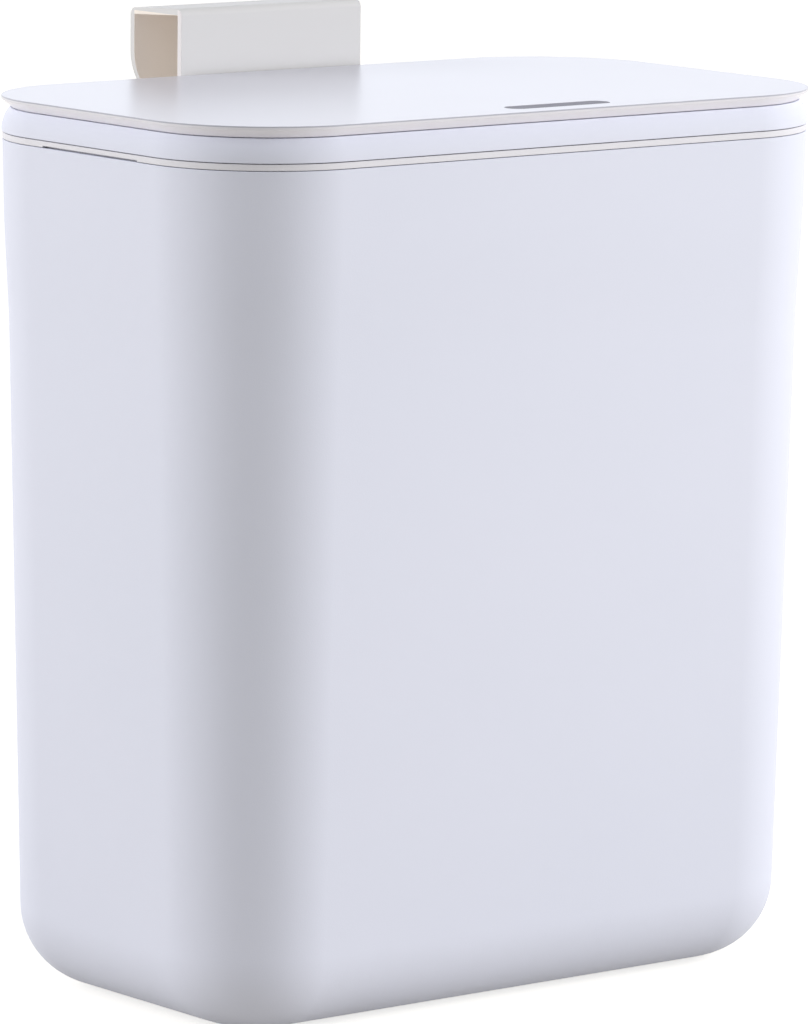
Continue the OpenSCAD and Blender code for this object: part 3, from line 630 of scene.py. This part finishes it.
def make_bucket():
    top = bucket_high.z
    heights = [top - (FLARE_START + (FLARE_END - FLARE_START) * i / FLARE_STEPS)
               for i in range(FLARE_STEPS + 1)]
    heights += [top - depth for depth in PLAIN_DEPTHS]
    heights.append(BASE_ROUND)
    base_r = bucket_radius(BASE_ROUND) - BASE_ROUND
    wall = [(bucket_radius(z), z) for z in heights]
    wall += quarter(base_r, BASE_ROUND, BASE_ROUND, 0, -90, BASE_STEPS)[1:]
    inner = quarter(RIM_R - EDGE, top - EDGE, EDGE, 0, 90, EDGE_STEPS)[1:]
    inner += quarter(RIM_R - BUCKET_WALL + EDGE, top - EDGE, EDGE, 90, 180, EDGE_STEPS)
    inner += [(bucket_radius(z) - BUCKET_WALL, z) for z in heights]
    inner += quarter(base_r, BASE_ROUND, BASE_ROUND - BUCKET_WALL, 0, -90, BASE_STEPS_INSIDE)[1:]
    bucket = swept("bucket_shell", RIM_R, top - 3 * EDGE, top - EDGE, wall, inner, closed=False)
    finish_shape(bucket, 32)
    dress(bucket, BUCKET_FINISH, "bucket", ["bucket"])


# ---------------------------------------------------------------- bag ring
def make_ring():
    bottom = bucket_high.z + STACK_GAP - SEAM_CLOSE
    top, low = ring_high.z, ring_low.z
    band_low, band_high = bottom + SEAM_BEVEL, top - SEAM_BEVEL
    skirt_out = RIM_R - BUCKET_WALL - BAG_SPACE
    skirt_in = skirt_out - RING_SKIRT
    foot_out, foot_in = skirt_out - RING_TAPER, skirt_in - RING_TAPER
    lower = quarter(RING_R - SEAM_BEVEL, band_low, SEAM_BEVEL, 0, -90, EDGE_STEPS)[1:]
    lower += [(skirt_out, bottom), (foot_out, low + EDGE), (foot_out - EDGE, low),
              (foot_in + EDGE, low), (foot_in, low + EDGE)]
    upper = quarter(RING_R - SEAM_BEVEL, band_high, SEAM_BEVEL, 0, 90, EDGE_STEPS)[1:]
    upper += [(skirt_in + EDGE, top), (skirt_in, top - EDGE), (foot_in, low + EDGE)]
    ring = swept("bag_ring_band", RING_R, band_low, band_high, lower, upper)
    for side in SIDES:
        x = span(side, HALF_X + RIM_R - BUCKET_WALL + STACK_GAP, HALF_X + RING_R + MM)
        carve(ring, block("notch", (x[0], -PRY_LENGTH / 2, bottom - MM),
                          (x[1], PRY_LENGTH / 2, bottom + PRY_HEIGHT)))
    finish_shape(ring, 32)
    dress(ring, RING_FINISH, "bag_ring", ["bag_ring"])


# ---------------------------------------------------------------- top frame
def frame_hollow(name, inside, outside, roof):
    """Cutter for a hollow under the frame, which ends before the hinge's side. Its corners have fewer
    steps than the frame's, so that no two faces lie on each other."""
    low = FRAME_BOTTOM - MM
    cutter = swept(name, outside, low, roof, [(inside, low)], [(inside, roof), (inside, low)],
                   steps=CORNER_STEPS - 5)
    edit(cutter)
    bpy.ops.mesh.select_all(action="SELECT")
    bpy.ops.mesh.bisect(plane_co=(0, HALF_Y, 0), plane_no=(0, 1, 0), use_fill=True, clear_outer=True)
    bpy.ops.object.mode_set(mode="OBJECT")
    return cutter


def make_frame():
    low = frame_low.z
    face_low, face_high = FRAME_BOTTOM + SEAM_BEVEL, FRAME_BOTTOM + FRAME_FACE
    shoulder_end = math.degrees(math.asin((DECK_RISE - FRAME_FACE) / SHOULDER))
    locator_in = LOCATOR_R - FRAME_SKIRT
    mouth_out = MOUTH_R + FRAME_SKIRT
    lower = quarter(FRAME_R - SEAM_BEVEL, face_low, SEAM_BEVEL, 0, -90, EDGE_STEPS)[1:]
    lower += [(LOCATOR_R, FRAME_BOTTOM), (LOCATOR_R, low + EDGE), (LOCATOR_R - EDGE, low),
              (locator_in + EDGE, low), (locator_in, low + EDGE), (locator_in, FRAME_BOTTOM),
              (mouth_out, FRAME_BOTTOM), (mouth_out, low + EDGE), (mouth_out - EDGE, low),
              (MOUTH_R + EDGE, low), (MOUTH_R, low + EDGE)]
    upper = quarter(FRAME_R - SHOULDER, face_high, SHOULDER, 0, shoulder_end, SHOULDER_STEPS)[1:]
    upper += [(STEP_R + EDGE, DECK), (STEP_R, DECK - EDGE), (STEP_R, LEDGE + EDGE), (STEP_R - EDGE, LEDGE),
              (MOUTH_R + 2 * EDGE, LEDGE), (MOUTH_R, LEDGE - 2 * EDGE), (MOUTH_R, low + EDGE)]
    rim = swept("top_frame_rim", FRAME_R, face_low, face_high, lower, upper)
    carve(rim, frame_hollow("ledge hollow", mouth_out + HOLLOW_MARGIN, locator_in - HOLLOW_MARGIN,
                            LEDGE - FRAME_ROOF))
    carve(rim, frame_hollow("deck hollow", LOCATOR_R + HOLLOW_MARGIN, FRAME_R - FRAME_WALL,
                            DECK - FRAME_ROOF))
    carve(rim, rod_x("trough", TROUGH_RADIUS, -HEEL_HALF - HEEL_PLAY, HEEL_HALF + HEEL_PLAY, 96))
    for side in SIDES:
        x = span(side, EAR_IN, EAR_OUT)
        ear = rod_x("ear", EAR_R, x[0], x[1])
        carve(ear, block("root", (x[0], HINGE.y - EAR_R, HINGE.z - TROUGH_RADIUS - EAR_ROOT),
                         (x[1], HINGE.y + EAR_R, HINGE.z)), "UNION")
        carve(rim, ear, "UNION")
    mouth = -HALF_Y - MOUTH_R
    carve(rim, block("nose window",
                     (slider_low.x - MM, mouth - FRAME_SKIRT - MM, slider_low.z - STACK_GAP),
                     (slider_high.x + MM, mouth + MM, slider_high.z + STACK_GAP)))
    finish_shape(rim, 30)
    dress(rim, FRAME_FINISH, "top_frame", ["top_frame"])


# ---------------------------------------------------------------- lid
def lid_plate_shape(face_low):
    """The plate with its upright edge and lower rim."""
    top = lid_high.z
    rim_in = LID_RIM_R - LID_RIM_WALL
    low = LID_RIM_BOTTOM
    upper = quarter(CORNER - LID_ROUND, top - LID_ROUND, LID_ROUND, 0, 90, EDGE_STEPS + 1)[1:]
    lower = [(LID_RIM_R + 0.6 * EDGE, low + 0.5 * EDGE), (LID_RIM_R - 0.6 * EDGE, low),
             (rim_in + EDGE, low), (rim_in, low + EDGE), (rim_in, LID_UNDERSIDE)]
    return swept("lid_panel", CORNER, face_low, top - LID_ROUND, lower, upper, closed=False)


def join_heel(lid):
    """Joins the round heel that turns in the frame's trough, kept inside the lid's rim."""
    heel = rod_x("heel", HEEL_RADIUS, -HEEL_HALF, HEEL_HALF, 128)
    keep = rounded_blank("heel limit", HALF_X + LID_RIM_R, HALF_Y + LID_RIM_R, LID_RIM_R,
                         lid_low.z - MM, INSIDE_PLATE)
    carve(heel, keep, "INTERSECT")
    carve(lid, heel, "UNION")


def join_bosses(lid):
    """Joins the six bosses that the tray's screws run into."""
    bore_top = screws_high.z + BORE_REST
    corner_x, corner_y = HALF_X + MOUTH_R / 3, HALF_Y + MOUTH_R / 3
    places = [(sx * corner_x, sy * corner_y) for sx in SIDES for sy in SIDES]
    places += [(sx * HALF_X / 2, HALF_Y / 4) for sx in SIDES]
    for x, y in places:
        carve(lid, rod("boss", BOSS_RADIUS, (x, y, TRAY_TOP), (x, y, INSIDE_PLATE)), "UNION")
        carve(lid, rod("screw bore", SMALL_SHANK, (x, y, TRAY_TOP - MM), (x, y, bore_top), 32))


def cut_hinge_room(lid, side):
    """Cuts the pin's bore and the room for the spring, the frame's ear and the spring's arm."""
    pin = span(side, SPRING_IN - PIN_INNER_REACH, EAR_OUT + PIN_REACH + STACK_GAP)
    carve(lid, rod_x("pin bore", PIN_RADIUS + PIN_CLEARANCE, pin[0], pin[1], 48))
    pocket = span(side, SPRING_IN - STACK_GAP, EAR_OUT + FREE_GAP)
    carve(lid, rod_x("spring pocket", EAR_POCKET, pocket[0], pocket[1]))
    ear = span(side, SPRING_OUT - SPRING_WIRE - FREE_GAP, EAR_OUT + FREE_GAP)
    carve(lid, block("ear pocket", (ear[0], HINGE.y - EAR_POCKET, HINGE.z - TROUGH_RADIUS - MM),
                     (ear[1], HINGE.y + TROUGH_RADIUS + MM, HINGE.z + EAR_POCKET)))
    slot = span(side, SPRING_IN - STACK_GAP, SPRING_IN + SPRING_WIRE + FREE_GAP)
    wire = SPRING_WIRE / 2 + FREE_GAP
    carve(lid, block("wire slot",
                     (slot[0], HINGE.y - SPRING_LEVER - FREE_GAP, HINGE.z - SPRING_R - wire),
                     (slot[1], HINGE.y, HINGE.z - SPRING_R + wire)))


def paint_lid_edge_light_and_shade(face_low):
    """Paints light: the rim is the lightest and the upright face is lighter, and a thin darker line of
    painted shade runs under the top's rounding.
    """
    shade_line_low = lid_high.z - PAINTED_SHADE_LINE
    painted_layers = ((lid_low.z - MM, face_low, LID_RIM_PAINTED_LIGHT), (face_low, shade_line_low, LID_FACE_PAINTED_LIGHT),
              (shade_line_low, lid_high.z - TOP_SKIN, LID_EDGE_PAINTED_SHADE))
    for low, high, tone in painted_layers:
        painted_light_zone(LID_FINISH_WITH_PAINTED_EDGE, (lid_low.x - MM, lid_low.y - MM, low),
                  (lid_high.x + MM, lid_high.y + MM, high), tone)


def make_lid():
    face_low = lid_high.z - LID_ROUND - LID_FACE
    lid = lid_plate_shape(face_low)
    join_heel(lid)
    join_bosses(lid)
    gap = 2 * BUTTON_GAP
    size = cap_high - cap_low
    carve(lid, capsule("button opening", size.x + gap, size.y + gap, LID_UNDERSIDE - MM, lid_high.z + MM))
    for side in SIDES:
        cut_hinge_room(lid, side)
    finish_shape(lid, 30)
    paint_lid_edge_light_and_shade(face_low)
    dress(lid, LID_FINISH_WITH_PAINTED_EDGE, "lid", ["lid_plate"])


def make_button():
    length, width = cap_high.x - cap_low.x, cap_high.y - cap_low.y
    half_width = width / 2
    face_top = cap_high.z - CAP_EDGE
    cap = capsule("button_face", length, width, cap_low.z, face_top)
    pick_faces(cap, lambda c, n: n.z > FACING)
    crown = quarter(half_width - CAP_EDGE, face_top - CAP_CROWN, CAP_EDGE, 0, 80, EDGE_STEPS + 1)[1:]
    crown.append((half_width - CAP_FLAT, cap_high.z - TOP_SKIN))
    run_wall((half_width, face_top), crown, up=True)
    finish_shape(cap, 40)
    dress(cap, BUTTON_FINISH, "button", ["button_cap"])


# ---------------------------------------------------------------- over-door hook
def bend_strip(left, right):
    """The strip that rises in front, bends over the door along its sloping top, and drops behind it."""
    front, back, top, low = hook_low.y, hook_high.y, hook_high.z, hook_low.z
    run = back - front - 2 * HOOK_BEND
    slope = math.atan2(HOOK_FALL, run)
    bend_z = top - HOOK_BEND
    clear_selection()
    bpy.ops.mesh.primitive_plane_add(size=1, location=((left + right) / 2, front + HOOK_WALL / 2, low))
    strip = bpy.context.object
    strip.name = strip.data.name = "door_hook"
    strip.scale = (right - left, HOOK_WALL, 1)
    settle(strip)
    edit(strip)
    bpy.ops.mesh.select_all(action="SELECT")
    extrude(0, 0, bend_z - low)
    bpy.ops.mesh.spin(steps=HOOK_BEND_STEPS, angle=math.pi / 2 + slope,
                      center=(0, front + HOOK_BEND, bend_z), axis=(1, 0, 0))
    extrude(0, run, -HOOK_FALL)
    bpy.ops.mesh.spin(steps=HOOK_BEND_STEPS, angle=math.pi / 2 - slope,
                      center=(0, back - HOOK_BEND, bend_z - HOOK_FALL), axis=(1, 0, 0))
    extrude(0, 0, HOOK_BEND + HOOK_FALL - HOOK_DROP)
    bpy.ops.mesh.select_all(action="SELECT")
    bpy.ops.mesh.normals_make_consistent(inside=False)
    bpy.ops.mesh.select_mode(type="EDGE")
    bpy.ops.mesh.select_all(action="DESELECT")
    bpy.ops.object.mode_set(mode="OBJECT")
    return strip


def round_back_plate(hook):
    """Rounds the two lower corners of the back plate."""
    corner = hook_high.z - HOOK_DROP
    points = hook.data.vertices
    for edge in hook.data.edges:
        a, b = (points[i].co for i in edge.vertices)
        through = abs(a.x - b.x) < NEAR
        edge.select = through and max(abs(a.z - corner), abs(b.z - corner)) < NEAR
    bpy.ops.object.mode_set(mode="EDIT")
    bpy.ops.mesh.bevel(offset=HOOK_CORNER, offset_type="OFFSET", segments=HOOK_CORNER_STEPS,
                       profile=0.5, affect="EDGES")
    bpy.ops.object.mode_set(mode="OBJECT")


def paint_hook_light(left):
    """Paints warm light inside the bend as a lighter, warmer tone, fading along it and downward, and
    paints light on the front wall's narrow end face, a little lighter."""
    front, back, top = hook_low.y, hook_high.y, hook_high.z
    wall = HOOK_WALL - 2 * SKIN
    painted_light_zone(HOOK_FINISH_WITH_PAINTED_LIGHT, (left - MM, front + wall, lid_high.z - PAINTED_WARM_DEPTH),
              (left + PAINTED_WARM_LENGTH, back - wall, top - wall), HOOK_INSIDE_PAINTED_LIGHT,
              fade_in=(CRISP, CRISP, PAINTED_WARM_FADE_DOWN), fade_out=(PAINTED_WARM_FADE_ALONG, CRISP, CRISP))
    painted_light_zone(HOOK_FINISH_WITH_PAINTED_LIGHT, (left - MM, front - MM, lid_high.z - END_PAINTED_LIGHT_DEPTH),
              (left + SKIN, front + HOOK_WALL + SKIN, top - END_PAINTED_LIGHT_TOP), HOOK_END_PAINTED_LIGHT)


def make_hook():
    left, right = hook_low.x + FOOT_EAR, hook_high.x - FOOT_EAR
    hook = bend_strip(left, right)
    round_back_plate(hook)
    carve(hook, block("foot", (hook_low.x, hook_low.y, hook_low.z),
                      (hook_high.x, hook_low.y + HOOK_WALL, hook_low.z + FOOT_HEIGHT)), "UNION")
    round_edges(hook, HOOK_EDGE, 3, 40)
    finish_shape(hook, 40)
    paint_hook_light(left)
    dress(hook, HOOK_FINISH_WITH_PAINTED_LIGHT, "hook", ["hook_bracket"])


# ---------------------------------------------------------------- springs
def make_lid_springs():
    """Each coil stays with the frame, and its arm turns with the lid."""
    wire = SPRING_WIRE / 2
    foot = HINGE.z - TROUGH_RADIUS + SPRING_WIRE
    arm_z = HINGE.z - SPRING_R
    for side, node in ((-1, "lid_spring_left"), (1, "lid_spring_right")):
        outer = side * (SPRING_OUT - wire)
        inner = side * (SPRING_IN + wire)
        turned = coil(node + "_coil", (outer, HINGE.y, HINGE.z), (-side, 0, 0), (0, 1, 0), (0, 0, 1),
                      SPRING_R, SPRING_TURNS - 0.25, abs(outer - inner), SPRING_WIRE,
                      first=(outer, HINGE.y + SPRING_R, foot))
        dress(turned, STEEL_FINISH, "top_frame", [node])
        arm = rod(node + "_arm", wire, (inner, HINGE.y + ARM_RISE, arm_z),
                  (inner, HINGE.y - SPRING_LEVER, arm_z), 16)
        smooth(arm, 60)
        dress(arm, STEEL_FINISH, "lid")


def make_latch_spring():
    low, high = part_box("latch_spring")
    middle = (low + high) / 2
    length = high.y - low.y
    spring = coil("latch_spring_coil", (middle.x, high.y - LATCH_WIRE / 2, middle.z), (0, -1, 0),
                  (1, 0, 0), (0, 0, 1), (high.x - low.x - LATCH_WIRE) / 2, LATCH_TURNS,
                  length - LATCH_WIRE, LATCH_WIRE)
    dress(spring, STEEL_FINISH, "lid", ["latch_spring"])
    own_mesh(spring)


# ---------------------------------------------------------------- screws
def pan_screw(name, shank_radius, head_radius, head_height, length):
    """A cross-recess screw that points up from its head's underside at the origin."""
    head = rod(name, head_radius, (0, 0, -head_height), (0, 0, 0))
    edit(head)
    pick_faces(head, lambda c, n: n.z < -FACING)
    bpy.ops.mesh.select_mode(type="EDGE")
    dome, bury = head_height * 0.6, head_height * 0.2
    bpy.ops.mesh.bevel(offset=dome, segments=5, profile=0.5, affect="EDGES")
    bpy.ops.object.mode_set(mode="OBJECT")
    arm, thin, depth = head_radius * 0.55, head_radius * 0.13, head_height * 0.7
    for x, y in ((arm, thin), (thin, arm)):
        carve(head, block("recess", (-x, -y, -head_height - MM), (x, y, depth - head_height)))
    carve(head, rod("shank", shank_radius, (0, 0, -bury), (0, 0, length), 32), "UNION")
    smooth(head, 35)
    return head


def place_screws(name, pattern, places, body, node):
    """Copies a screw to each place and turn, and joins the copies into one set."""
    copies = []
    for place, turn in places:
        copy = pattern.copy()
        copy.data = pattern.data.copy()
        bpy.context.scene.collection.objects.link(copy)
        copy.matrix_world = Matrix.Translation(place) @ turn
        copies.append(copy)
    clear_selection()
    for copy in copies:
        copy.select_set(True)
    bpy.context.view_layer.objects.active = copies[0]
    bpy.ops.object.join()
    joined = bpy.context.object
    joined.name = joined.data.name = name
    settle(joined)
    bpy.data.objects.remove(pattern)
    dress(joined, STEEL_FINISH, body, [node])


def turned_by(angle):
    """A screw's last turn about its own axis."""
    return Matrix.Rotation(angle, 4, "Z")


def small_screw(name, low, high):
    length = high.z - low.z - SMALL_HEAD_HEIGHT
    return pan_screw(name, SMALL_SHANK, SMALL_HEAD, SMALL_HEAD_HEIGHT, length)


def make_screws():
    """Every screw ends at a turn of its own, as screws do."""
    low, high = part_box("tray_screws")
    x, y, seat = high.x - SMALL_HEAD, high.y - SMALL_HEAD, low.z + SMALL_HEAD_HEIGHT
    places = [((sx * x, sy * y, seat), turned_by(0.4 * sx + sy)) for sx in SIDES for sy in SIDES]
    places += [((sx * HALF_X / 2, HALF_Y / 4, seat), turned_by(0.7 * sx)) for sx in SIDES]
    place_screws("tray_screw_set", small_screw("tray screw", low, high), places, "lid", "tray_screws")

    low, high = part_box("cover_screws")
    y, seat = (low.y + high.y) / 2, low.z + SMALL_HEAD_HEIGHT
    places = [((x, y, seat), turned_by(x * 900)) for x in (low.x + SMALL_HEAD, high.x - SMALL_HEAD)]
    place_screws("cover_screw_set", small_screw("cover screw", low, high), places, "lid", "cover_screws")

    low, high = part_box("socket_screws")
    backward = Matrix.Rotation(-math.pi / 2, 4, "X")
    places = []
    for z in (low.z + WALL_HEAD, high.z - WALL_HEAD):
        seat = HALF_Y + bucket_radius(z - WALL_HEAD) - BUCKET_WALL
        for x in (low.x + WALL_HEAD, high.x - WALL_HEAD):
            places.append(((x, seat, z), backward @ turned_by(x * 400)))
    screw = pan_screw("socket screw", WALL_SHANK, WALL_HEAD, WALL_HEAD_HEIGHT, WALL_SCREW_LENGTH)
    place_screws("socket_screw_set", screw, places, "bucket", "socket_screws")


# ---------------------------------------------------------------- pieces that keep the solid's form
def soften(node_name, name, width, material, body):
    """A copy of a solid with its edges taken off."""
    source = frame["nodes"][node_name]
    piece = source.copy()
    piece.data = source.data.copy()
    bpy.context.scene.collection.objects.link(piece)
    piece.name = piece.data.name = name
    for key in list(piece.keys()):
        del piece[key]
    edit(piece)
    bpy.ops.mesh.select_mode(type="VERT")
    bpy.ops.mesh.select_all(action="SELECT")
    bpy.ops.mesh.remove_doubles(threshold=MERGE)
    bpy.ops.mesh.dissolve_limited(angle_limit=math.radians(0.5))
    bpy.ops.object.mode_set(mode="OBJECT")
    round_edges(piece, width, 2, 35)
    finish_shape(piece, 35)
    dress(piece, material, body, [node_name])


make_bucket()
make_ring()
make_frame()
make_lid()
make_button()
make_hook()
make_lid_springs()
make_latch_spring()
make_screws()
soften("hook_socket", "hook_holder", 0.3 * MM, HOLDER_FINISH, "bucket")
soften("door_pads", "door_strips", 0.25 * MM, RUBBER_FINISH, "bucket")
soften("lid_tray", "lid_inner_tray", 0.2 * MM, FRAME_FINISH, "lid")
soften("latch_cover", "latch_housing_cover", 0.2 * MM, FRAME_FINISH, "lid")
soften("lid_bumpers", "lid_soft_studs", 0.2 * MM, RUBBER_FINISH, "lid")
soften("button_plunger", "button_stem", 0.15 * MM, INNER_FINISH, "button")
soften("latch_slider", "latch_bolt", 0.15 * MM, INNER_FINISH, "latch")

# the hinge pins are the solid itself
pins = frame["nodes"]["hinge_pins"]
pins.data.materials.clear()
pins.data.materials.append(STEEL_FINISH)

# ---------------------------------------------------------------- floor, light and camera
FILL = 0.48                              # light from all round
PAPER = 1.6                              # brightness of the surroundings in a glossy face
GLOSS_TINT = (0.96, 0.99, 1.06, 1)
FLOOR_TONES = ((0.60, 0.58, 0.53, 1), (0.62, 0.60, 0.55, 1))
FLOOR_GLOW = 0.71                        # brings the floor up to white where it is seen
FLOOR_DROP = 0.5 * MM
WINDOW_SIZE = (1.3, 1.1)
LIGHT_AIM = (0, 0, 0.14)

CAMERA_LENS = 250.96                     # millimetres
CAMERA_SHIFT = (0.00065, 0.01932)
CAMERA_AZIMUTH = math.radians(-38.583)   # left of the front
CAMERA_ELEVATION = math.radians(9.113)
CAMERA_ROLL = math.radians(0.661)
CAMERA_AIM = (0, 0, 0.14131)
CAMERA_DISTANCE = 2.274135


def make_floor():
    """A plain pale floor that reads as white paper and keeps the shadow."""
    clear_selection()
    bpy.ops.mesh.primitive_plane_add(size=60, location=(0, 0, cad_low.z - FLOOR_DROP))
    floor = bpy.context.object
    floor.name = "floor"
    material = bpy.data.materials.new("pale floor")
    material.use_nodes = True
    tree = material.node_tree
    shader = tree.nodes["Principled BSDF"]
    shader.inputs["Roughness"].default_value = 0.9
    shader.inputs["Specular IOR Level"].default_value = 0.1
    speck = noise(tree, tree.nodes.new("ShaderNodeTexCoord").outputs["Object"], 3.0)
    tree.links.new(mix_node(tree, speck, *FLOOR_TONES), shader.inputs["Base Color"])
    path = tree.nodes.new("ShaderNodeLightPath")
    seen = math_node(tree, "MAXIMUM", path.outputs["Is Camera Ray"], path.outputs["Is Glossy Ray"])
    shader.inputs["Emission Color"].default_value = (1, 1, 1, 1)
    tree.links.new(math_node(tree, "MULTIPLY", seen, FLOOR_GLOW), shader.inputs["Emission Strength"])
    floor.data.materials.append(material)


def make_world():
    """The soft fill is weaker than the white paper that the camera and the glossy faces see."""
    world = bpy.data.worlds.new("studio")
    bpy.context.scene.world = world
    world.use_nodes = True
    tree = world.node_tree
    background = tree.nodes["Background"]
    path = tree.nodes.new("ShaderNodeLightPath")
    in_gloss = path.outputs["Is Glossy Ray"]
    around = mix_node(tree, in_gloss, FILL, PAPER, "FLOAT")
    seen = mix_node(tree, path.outputs["Is Camera Ray"], around, 1.0, "FLOAT")
    tree.links.new(seen, background.inputs["Strength"])
    tree.links.new(mix_node(tree, in_gloss, (1, 1, 1, 1), GLOSS_TINT), background.inputs["Color"])


def soft_box(name, place, power):
    """A window of soft light. It isn't seen in gloss, so the lid keeps its tone from every side."""
    lamp = bpy.data.lights.new(name, "AREA")
    lamp.shape = "RECTANGLE"
    lamp.size, lamp.size_y = WINDOW_SIZE
    lamp.energy = power
    holder = bpy.data.objects.new(name, lamp)
    bpy.context.scene.collection.objects.link(holder)
    holder.visible_glossy = False
    holder.location = place
    holder.rotation_euler = (Vector(LIGHT_AIM) - Vector(place)).to_track_quat("-Z", "Y").to_euler()


def make_camera():
    camera = bpy.data.cameras.new("camera")
    camera.lens = CAMERA_LENS
    camera.sensor_width = 36
    camera.shift_x, camera.shift_y = CAMERA_SHIFT
    camera.clip_end = 200
    holder = bpy.data.objects.new("camera", camera)
    bpy.context.scene.collection.objects.link(holder)
    level = math.cos(CAMERA_ELEVATION)
    back = Vector((math.sin(CAMERA_AZIMUTH) * level, -math.cos(CAMERA_AZIMUTH) * level,
                   math.sin(CAMERA_ELEVATION)))
    right = (-back).cross(Vector((0, 0, 1))).normalized()
    up = right.cross(-back)
    c, s = math.cos(CAMERA_ROLL), math.sin(CAMERA_ROLL)
    right, up = right * c + up * s, up * c - right * s
    turn = Matrix((right, up, back)).transposed().to_4x4()
    holder.matrix_world = Matrix.Translation(Vector(CAMERA_AIM) + back * CAMERA_DISTANCE) @ turn
    bpy.context.scene.camera = holder


make_floor()
make_world()
soft_box("left window", (-1.75, 1.2, 0.75), 26)
soft_box("right window", (1.5, -1.49, 0.75), 33.5)
make_camera()
bpy.context.scene.view_settings.view_transform = "Standard"
